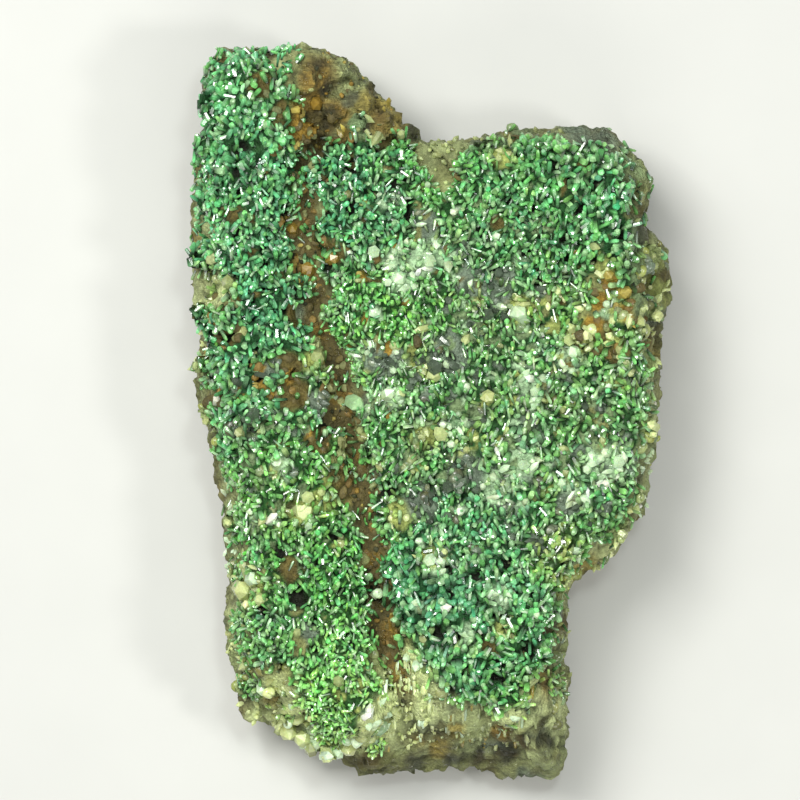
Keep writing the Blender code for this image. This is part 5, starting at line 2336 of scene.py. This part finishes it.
def joined(bunches: list[Bunch]) -> Bunch:
    """Join bunches of one form in one."""
    names = ("roots", "axes", "spins", "radii", "lengths", "tones")
    parts = {name: np.concatenate([getattr(bunch, name) for bunch in bunches]) for name in names}
    return Bunch(bunches[0].form, **parts)


@dataclass
class CombQuartz:
    """The comb of long quartz columns down the broken lower end."""

    terrain: Terrain
    edge: tuple[tuple[float, float], ...] = (
        (-12.0, -47.5), (-8.0, -42.5), (-5.0, -36.5), (-1.0, -37.5), (3.0, -41.5), (9.0, -43.5),
        (13.0, -43.5), (15.6, -41.0))
    first_row: float = -1.0
    row_step: float = 1.25
    pitch: float = 0.44
    length: tuple[float, float] = (1.8, 3.6)
    radius: tuple[float, float] = (0.22, 0.40)
    lean: float = 5.0
    sunk: float = 0.36
    steepest: float = 2.4
    bridge: float = 0.8
    last_start_y: float = -48.9
    lowest_y: float = -51.9
    tawny_y: float = -47.2
    # The pale columns are painted 1.42 times brighter, painted light that offsets the shade on their
    # slope and between them
    brightness: tuple[float, float] = (1.42, 1.0)
    sandy_x: float = 0.5

    def build(self, material: bpy.types.Material, draw: np.random.Generator) -> bpy.types.Object:
        """Lay rows of columns down the slope.

        Args:
            material: The columns' finish.
            draw: Source of the random numbers.

        Returns:
            The piece.
        """
        roots, axes, lengths = [], [], []
        edge_x, edge_y = np.array(self.edge).T
        for x in np.arange(edge_x[0], edge_x[-1], self.pitch):
            edge_at = float(np.interp(x, edge_x, edge_y))
            for start_y in np.arange(edge_at - self.first_row, self.last_start_y, -self.row_step):
                top = (x + draw.uniform(-0.3, 0.3), start_y + draw.uniform(-0.7, 0.7))
                length = draw.uniform(*self.length)
                side = math.radians(draw.uniform(-self.lean, self.lean))
                foot = (top[0] + length * math.sin(side), top[1] - length * math.cos(side))
                above, below = self.terrain.drop(*top), self.terrain.drop(*foot)
                if above is None or below is None or foot[1] < self.lowest_y:
                    continue
                run = below[0] - above[0]
                half = self.terrain.drop(*((above[0] + below[0]) / 2).xy)
                hangs = above[0].z + below[0].z - 2.0 * half[0].z > 2.0 * self.bridge
                if -run.z > self.steepest * length or hangs:
                    continue
                roots.append(above[0] - above[1] * self.sunk)
                axes.append(run)
                lengths.append(length)
        count = len(roots)
        directions = np.array([axis.normalized() for axis in axes])
        tones = np.array([Tone.CREAM.value, Tone.SAND.value, Tone.MILK.value, Tone.OCHRE.value])
        pale = tones[draw.choice(4, size=count, p=[0.72, 0.18, 0.08, 0.02])]
        sandy = tones[draw.choice(4, size=count, p=[0.30, 0.50, 0.12, 0.08])]
        tawny = tones[draw.choice(4, size=count, p=[0.40, 0.22, 0.08, 0.30])]
        sandy = np.where(np.array(roots)[:, 1:2] < self.tawny_y, tawny, sandy)
        on_pale = np.array(roots)[:, :1] < self.sandy_x
        # Painted light: the pale columns are brightened
        picked = np.where(on_pale, pale * self.brightness[0], sandy * self.brightness[1])
        shade = np.exp(0.10 * draw.standard_normal(count))[:, None]
        bunch = Bunch(Form.COLUMN, np.array(roots), directions, draw.uniform(0, math.tau, count),
                      draw.uniform(*self.radius, count), np.array(lengths), picked * shade)
        piece = place("comb_quartz", bunch.mesh("comb_quartz", draw), material)
        piece.data.shade_smooth()
        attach(piece, BODY)
        return piece


def ball() -> tuple[np.ndarray, np.ndarray]:
    """Make the round ball that lumps and crumbs are bent from: its points and its triangles."""
    bpy.ops.mesh.primitive_ico_sphere_add(subdivisions=2, radius=1.0)
    item = bpy.context.object
    points = np.array([vertex.co for vertex in item.data.vertices])
    faces = triangles_of(item.data)
    bpy.data.objects.remove(item)
    return points, faces


@dataclass
class Pebbles:
    """Rounded bodies of one kind, each bent from the same ball.

    Attributes:
        radius: Least and greatest radius.
        spacing: Least distance between two of them.
        flatness: Height as a share of the width.
        waviness: How uneven their skin is, as a share of the radius.
        sunk: How deep their middle lies, as a share of the radius.
    """

    radius: tuple[float, float]
    spacing: float
    flatness: float
    waviness: float
    sunk: float
    waves: tuple[float, ...] = (2.1, 3.3, 4.9)

    def settle(self, found: list[tuple[np.ndarray, np.ndarray]],
               draw: np.random.Generator) -> Settled:
        """Keep the bodies that are not too close to another, and size them.

        Args:
            found: Places and colours, some at a time.
            draw: Source of the random numbers.

        Returns:
            The bodies that stay.
        """
        places = np.concatenate([spots for spots, _ in found])
        tones = np.concatenate([colours for _, colours in found])
        chosen = keep_apart(places, np.full(len(places), self.spacing))
        radii = draw.uniform(*self.radius, len(chosen))
        return Settled(places[chosen], radii, tones[chosen])

    def plant(self, name: str, bodies: Settled, material: bpy.types.Material,
              draw: np.random.Generator) -> bpy.types.Object:
        """Make a piece of the bodies.

        Args:
            name: Name of the piece.
            bodies: Where they lie, their sizes and colours.
            material: The finish.
            draw: Source of the random numbers.

        Returns:
            The piece.
        """
        corners, faces = ball()
        count = len(bodies.places)
        stretch = np.clip(1.0 + 0.22 * draw.standard_normal((count, 1, 3)), 0.6, 1.4)
        stretch[:, :, 2] *= self.flatness
        skin = np.ones((count, len(corners)))
        for wave in self.waves:
            heading = draw.standard_normal((count, 3))
            heading /= np.linalg.norm(heading, axis=1)[:, None]
            phase = draw.uniform(0.0, math.tau, (count, 1))
            skin += self.waviness * np.sin(wave * (heading @ corners.T) + phase)
        radii = bodies.radii[:, None, None]
        bent = corners[None] * skin[:, :, None] * stretch * radii
        turn = draw.uniform(0.0, math.tau, count)[:, None]
        points = bent.copy()
        points[:, :, 0] = bent[:, :, 0] * np.cos(turn) - bent[:, :, 1] * np.sin(turn)
        points[:, :, 1] = bent[:, :, 0] * np.sin(turn) + bent[:, :, 1] * np.cos(turn)
        points[:, :, 2] -= radii[:, :, 0] * self.sunk
        points += bodies.places[:, None, :]
        offsets = (np.arange(count) * len(corners))[:, None, None]
        mesh = mesh_from(name, points.reshape(-1, 3), [(faces[None] + offsets).reshape(-1, 3)])
        paint(mesh, np.clip(np.repeat(bodies.tones, len(corners), axis=0), 0.004, 0.85))
        mesh.shade_smooth()
        piece = place(name, mesh, material)
        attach(piece, BODY)
        return piece


def picked_tones(choices: tuple[Tone, ...], count: int, spread: float,
                 draw: np.random.Generator) -> np.ndarray:
    """Pick a colour for each of many bodies, and vary its brightness.

    Args:
        choices: Colours to pick from.
        count: Number of bodies.
        spread: How much the brightness varies.
        draw: Source of the random numbers.

    Returns:
        One colour each.
    """
    palette = np.array([tone.value for tone in choices])
    bright = np.exp(spread * draw.standard_normal(count))[:, None]
    return palette[draw.integers(0, len(choices), count)] * bright


@dataclass
class RoundedLumps:
    """Smooth lumps of quartz and limonite between the crystals, on the rims and in the seam."""

    layout: Layout
    kind: Pebbles = field(default_factory=lambda: Pebbles((0.40, 1.00), 0.80, 0.52, 0.07, 0.34))
    rim_density: float = 0.03
    shoulder: Spot = Spot(-10.5, 47.0, 9.5)
    shoulder_share: float = 0.12
    rim_reach: float = 2.6
    seam_density: float = 0.34
    seam_reach: float = 2.4
    spread: float = 0.16

    def on_bed(self, bed: CrystalBed, ground: Ground,
               draw: np.random.Generator) -> tuple[np.ndarray, np.ndarray]:
        """Choose where the lumps of one kind of ground lie on a bed.

        Args:
            bed: The bed.
            ground: The kind of ground.
            draw: Source of the random numbers.

        Returns:
            The places and the colours.
        """
        points, _ = arrays_of(bed.mesh)
        density = self.layout.ground_weights(points[:, :2])[ground] * COVERS[ground].lumps
        away = np.hypot(points[:, 0] - self.shoulder.x, points[:, 1] - self.shoulder.y)
        plain = fade(away, self.shoulder.radius * 0.8, self.shoulder.radius)
        density *= fade(bed.cover, 0.02, 0.3) * np.maximum(plain, self.shoulder_share)
        return self.drawn(bed.mesh, density, COVERS[ground].lump_tones, draw)

    def on_rims(self, rock: RockBlock, open_share: np.ndarray,
                draw: np.random.Generator) -> tuple[np.ndarray, np.ndarray]:
        """Choose where lumps lie on the rock's bare rims.

        Args:
            rock: The rock.
            open_share: Which of its points lie open to the sky.
            draw: Source of the random numbers.

        Returns:
            The places and the colours.
        """
        points, _ = arrays_of(rock.mesh)
        away = np.min([distance_to_path(points[:, :2], path) for ground, _, path in RIMS
                       if ground is not Ground.BARE], axis=0)
        density = self.rim_density * (1.0 - fade(away, self.rim_reach * 0.6, self.rim_reach))
        density = density * open_share * fade(points[:, 2], 9.0, 13.0)
        return self.drawn(rock.mesh, density, COVERS[Ground.EDGE].lump_tones, draw)

    def in_seam(self, rock: RockBlock, open_share: np.ndarray,
                draw: np.random.Generator) -> tuple[np.ndarray, np.ndarray]:
        """Choose where brown lumps lie in the seam.

        Args:
            rock: The rock.
            open_share: Which of its points lie open to the sky.
            draw: Source of the random numbers.

        Returns:
            The places and the colours.
        """
        points, _ = arrays_of(rock.mesh)
        away = distance_to_path(points[:, :2], SEAM)
        density = self.seam_density * (1.0 - fade(away, self.seam_reach * 0.6, self.seam_reach))
        density = density * fade(points[:, 1], -44.0, -40.0) * open_share
        return self.drawn(rock.mesh, density, COVERS[Ground.BROWN].lump_tones, draw)

    def drawn(self, mesh: bpy.types.Mesh, density: np.ndarray, tones: tuple[Tone, ...],
              draw: np.random.Generator) -> tuple[np.ndarray, np.ndarray]:
        """Draw places from a density, with a colour for each."""
        ways = sample_surface(mesh, density + 1e-9, expected_count(mesh, density), draw)
        return ways.points, picked_tones(tones, len(ways.points), self.spread, draw)


@dataclass
class LimoniteCrumbs:
    """Small crumbs of limonite in the seam and on the brown shoulder."""

    kind: Pebbles = field(default_factory=lambda: Pebbles((0.13, 0.38), 0.42, 1.0, 0.14, 0.0))
    seam_density: float = 0.5
    seam_reach: float = 2.2
    shoulder: Spot = Spot(-11.5, 48.0, 9.0)
    shoulder_density: float = 0.28
    spread: float = 0.25
    tones: tuple[Tone, ...] = (Tone.UMBER, Tone.UMBER, Tone.EARTH, Tone.TAN, Tone.RUST, Tone.OCHRE)

    def roots(self, rock: RockBlock, open_share: np.ndarray,
              draw: np.random.Generator) -> tuple[np.ndarray, np.ndarray]:
        """Choose where the crumbs lie.

        Args:
            rock: The rock.
            open_share: Which of its points lie open to the sky.
            draw: Source of the random numbers.

        Returns:
            The places and the colours.
        """
        points, _ = arrays_of(rock.mesh)
        away = distance_to_path(points[:, :2], SEAM)
        density = self.seam_density * (1.0 - fade(away, self.seam_reach * 0.6, self.seam_reach))
        density *= fade(points[:, 1], -46.0, -40.0)
        off = np.hypot(points[:, 0] - self.shoulder.x, points[:, 1] - self.shoulder.y)
        near = 1.0 - fade(off, self.shoulder.radius * 0.8, self.shoulder.radius)
        density = np.maximum(density, self.shoulder_density * near)
        density = density * open_share * fade(points[:, 2], 9.0, 13.0)
        ways = sample_surface(rock.mesh, density + 1e-9, expected_count(rock.mesh, density), draw)
        return ways.points, picked_tones(self.tones, len(ways.points), self.spread, draw)


class Lamp(NamedTuple):
    """A square soft light: its name, place, width, brightness of its face and colour."""

    name: str
    place_at: tuple[float, float, float]
    width: float
    radiance: float
    colour: Colour


@dataclass
class Studio:
    """The pale floor, the soft lights and the camera over the specimen."""

    view_x: float = -4.31
    view_y: float = 2.23
    view_z: float = 20.0
    view_width: float = 118.9
    camera_distance: float = 900.0
    sensor: float = 36.0
    floor_size: float = 4000.0
    world_level: float = 0.11
    lamps: tuple[Lamp, ...] = (
        Lamp("key_light", (-190.0, 200.0, 520.0), 210.0, 15.5, (1.0, 1.0, 0.95)),
        Lamp("soft_panel", (-260.0, 260.0, 640.0), 620.0, 2.0, (0.98, 1.0, 0.98)),
        Lamp("top_glint", (60.0, 120.0, 640.0), 60.0, 60.0, (0.92, 1.0, 0.98)),
        Lamp("side_glint", (300.0, -60.0, 480.0), 80.0, 38.0, (1.0, 1.0, 0.96)),
        Lamp("foot_fill", (40.0, -420.0, 400.0), 300.0, 3.6, (1.0, 1.0, 0.93)),
    )

    def build(self, effects: Effects) -> None:
        """Make the floor, the lights, the world and the camera."""
        self.make_floor(effects)
        for lamp in self.lamps:
            self.hang(lamp)
        world = bpy.data.worlds.new("soft_room")
        world.use_nodes = True
        sky = world.node_tree.nodes["Background"]
        sky.inputs["Color"].default_value = (1.0, 1.0, 1.0, 1.0)
        sky.inputs["Strength"].default_value = self.world_level
        bpy.context.scene.world = world
        bpy.context.scene.view_settings.view_transform = "Standard"
        self.make_camera()

    def make_floor(self, effects: Effects) -> None:
        """Lay the floor under the specimen."""
        half = self.floor_size / 2
        corners = np.array([(-half, -half, 0.0), (half, -half, 0.0), (half, half, 0.0),
                            (-half, half, 0.0)])
        mesh = mesh_from("studio_floor", corners, [np.array([[0, 1, 2, 3]])])
        floor = place("studio_floor", mesh, FloorFinish().material(effects))

    def hang(self, lamp: Lamp) -> None:
        """Hang a light that faces the specimen."""
        light = bpy.data.lights.new(lamp.name, "AREA")
        light.shape = "SQUARE"
        light.size = lamp.width * MM
        light.color = lamp.colour
        light.energy = lamp.radiance * math.pi * (lamp.width * MM) ** 2
        item = bpy.data.objects.new(lamp.name, light)
        bpy.context.scene.collection.objects.link(item)
        spot = Vector(lamp.place_at)
        item.location = spot * MM
        aim = Vector((0.0, 0.0, self.view_z)) - spot
        item.rotation_euler = aim.to_track_quat("-Z", "Y").to_euler()

    def make_camera(self) -> None:
        """Look straight down at the specimen, with its head up."""
        camera = bpy.data.cameras.new("photo_camera")
        camera.sensor_width = self.sensor
        camera.lens = self.sensor * self.camera_distance / self.view_width
        camera.clip_start, camera.clip_end = 0.01, 20.0
        item = bpy.data.objects.new("photo_camera", camera)
        item.location = Vector((self.view_x, self.view_y, self.view_z + self.camera_distance)) * MM
        bpy.context.scene.collection.objects.link(item)
        bpy.context.scene.camera = item


class Specimen:
    """The whole specimen, built from its rock upwards."""

    HEAD_Y = 8.0

    def __init__(self) -> None:
        """Set up what the sub-assemblies share."""
        noise.seed_set(SEED)
        self.draw = np.random.default_rng(SEED)
        self.layout = Layout()
        self.effects = Effects()
        self.rock = RockBlock(self.layout)
        self.beds = [CrystalBed(side, self.layout) for side in SIDES]

    def build(self) -> list[bpy.types.Object]:
        """Build every piece, from the rock upwards, and list them."""
        self.rock.shape()
        bare = Terrain([self.rock.mesh])
        floor_finish = BedFinish().material(self.effects)
        pieces = [bed.build(floor_finish, bare) for bed in self.beds]
        self.bed_terrain = Terrain([bed.mesh for bed in self.beds])
        self.rock.clear_stubs(self.bed_terrain)
        pieces.append(self.rock.dress(RockFinish().material(self.effects)))
        self.open_share = self.rock.open_share(self.bed_terrain)
        self.terrain = Terrain([self.rock.mesh, *(bed.mesh for bed in self.beds)])
        self.settle_lumps()
        pieces.extend(self.grow_druse())
        pieces.extend(self.grow_quartz())
        pieces.extend(self.lay_lumps())
        return pieces

    def settle_lumps(self) -> None:
        """Choose where the smooth lumps lie, before the crystals grow round them."""
        lumps = RoundedLumps(self.layout)
        self.lump_kind = lumps.kind
        pale = [lumps.on_bed(bed, ground, self.draw) for bed in self.beds
                for ground in Ground if ground not in LIMONITE]
        pale.append(lumps.on_rims(self.rock, self.open_share, self.draw))
        brown = [lumps.on_bed(bed, ground, self.draw) for bed in self.beds for ground in LIMONITE]
        brown.append(lumps.in_seam(self.rock, self.open_share, self.draw))
        self.pale_lumps = lumps.kind.settle(pale, self.draw)
        self.brown_lumps = lumps.kind.settle(brown, self.draw)

    def lay_lumps(self) -> list[bpy.types.Object]:
        """Lay the smooth lumps and the crumbs, and list the pieces."""
        crumbs = LimoniteCrumbs()
        earthy = CrumbFinish().material(self.effects)
        small = crumbs.kind.settle([crumbs.roots(self.rock, self.open_share, self.draw)], self.draw)
        return [self.lump_kind.plant("quartz_lumps", self.pale_lumps, self.milky, self.draw),
                self.lump_kind.plant("limonite_lumps", self.brown_lumps, earthy, self.draw),
                crumbs.kind.plant("limonite_crumbs", small, earthy, self.draw)]

    def grow_druse(self) -> list[bpy.types.Object]:
        """Grow the green crystals on the beds, the rims and the seam, and list the pieces."""
        druse = GreenDruse(self.layout, self.terrain)
        material = CrystalFinish().material(self.effects)
        lumps = [self.pale_lumps, self.brown_lumps]
        left, right = (druse.clear_of(druse.roots_on(bed, self.draw), lumps) for bed in self.beds)
        head = right.points[:, 1] > self.HEAD_Y
        groups = {
            "druse_left": left,
            "druse_right_head": Ways(right.points[head], right.normals[head]),
            "druse_right_foot": Ways(right.points[~head], right.normals[~head]),
        }
        pieces = [druse.plant(name, druse.crystals(ways, self.draw), material, self.draw)
                  for name, ways in groups.items()]
        rims = druse.clear_of(druse.roots_on_rock(self.rock, self.open_share, self.draw), lumps)
        bunch = druse.crystals(rims, self.draw, druse.rim_size)
        pieces.append(druse.plant("druse_rims", bunch, material, self.draw))
        return pieces

    def grow_quartz(self) -> list[bpy.types.Object]:
        """Grow the milky, smoky and comb quartz, and list the pieces."""
        points = QuartzPoints(self.layout)
        self.milky = QuartzFinish().material(self.effects)
        smoky = SmokyFinish().material(self.effects)
        pale = [ground for ground in Ground if ground is not Ground.SMOKY]
        bunches = [points.stand(*points.on_bed(bed, pale, self.draw), self.draw)
                   for bed in self.beds]
        bunches.append(points.stand(*points.on_rock(self.rock, self.open_share, self.draw),
                                    self.draw, points.rock_size))
        bunches.append(points.big_ones(self.bed_terrain, False, self.draw))
        bunches.append(points.blocks(self.terrain, self.draw))
        clear = [points.stand(*points.on_bed(bed, [Ground.SMOKY], self.draw), self.draw)
                 for bed in self.beds]
        clear.append(points.big_ones(self.bed_terrain, True, self.draw))
        return [points.plant("quartz_points", bunches, self.milky, self.draw),
                points.plant("smoky_quartz", clear, smoky, self.draw),
                CombQuartz(self.terrain).build(self.milky, self.draw)]


def main() -> None:
    """Build the specimen and its studio, and report each piece."""
    logging.basicConfig(level=logging.INFO, format="%(name)s %(message)s")
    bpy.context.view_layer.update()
    specimen = Specimen()
    for piece in specimen.build():
        report(piece)
    Studio().build(specimen.effects)


if __name__ == "__main__":
    main()
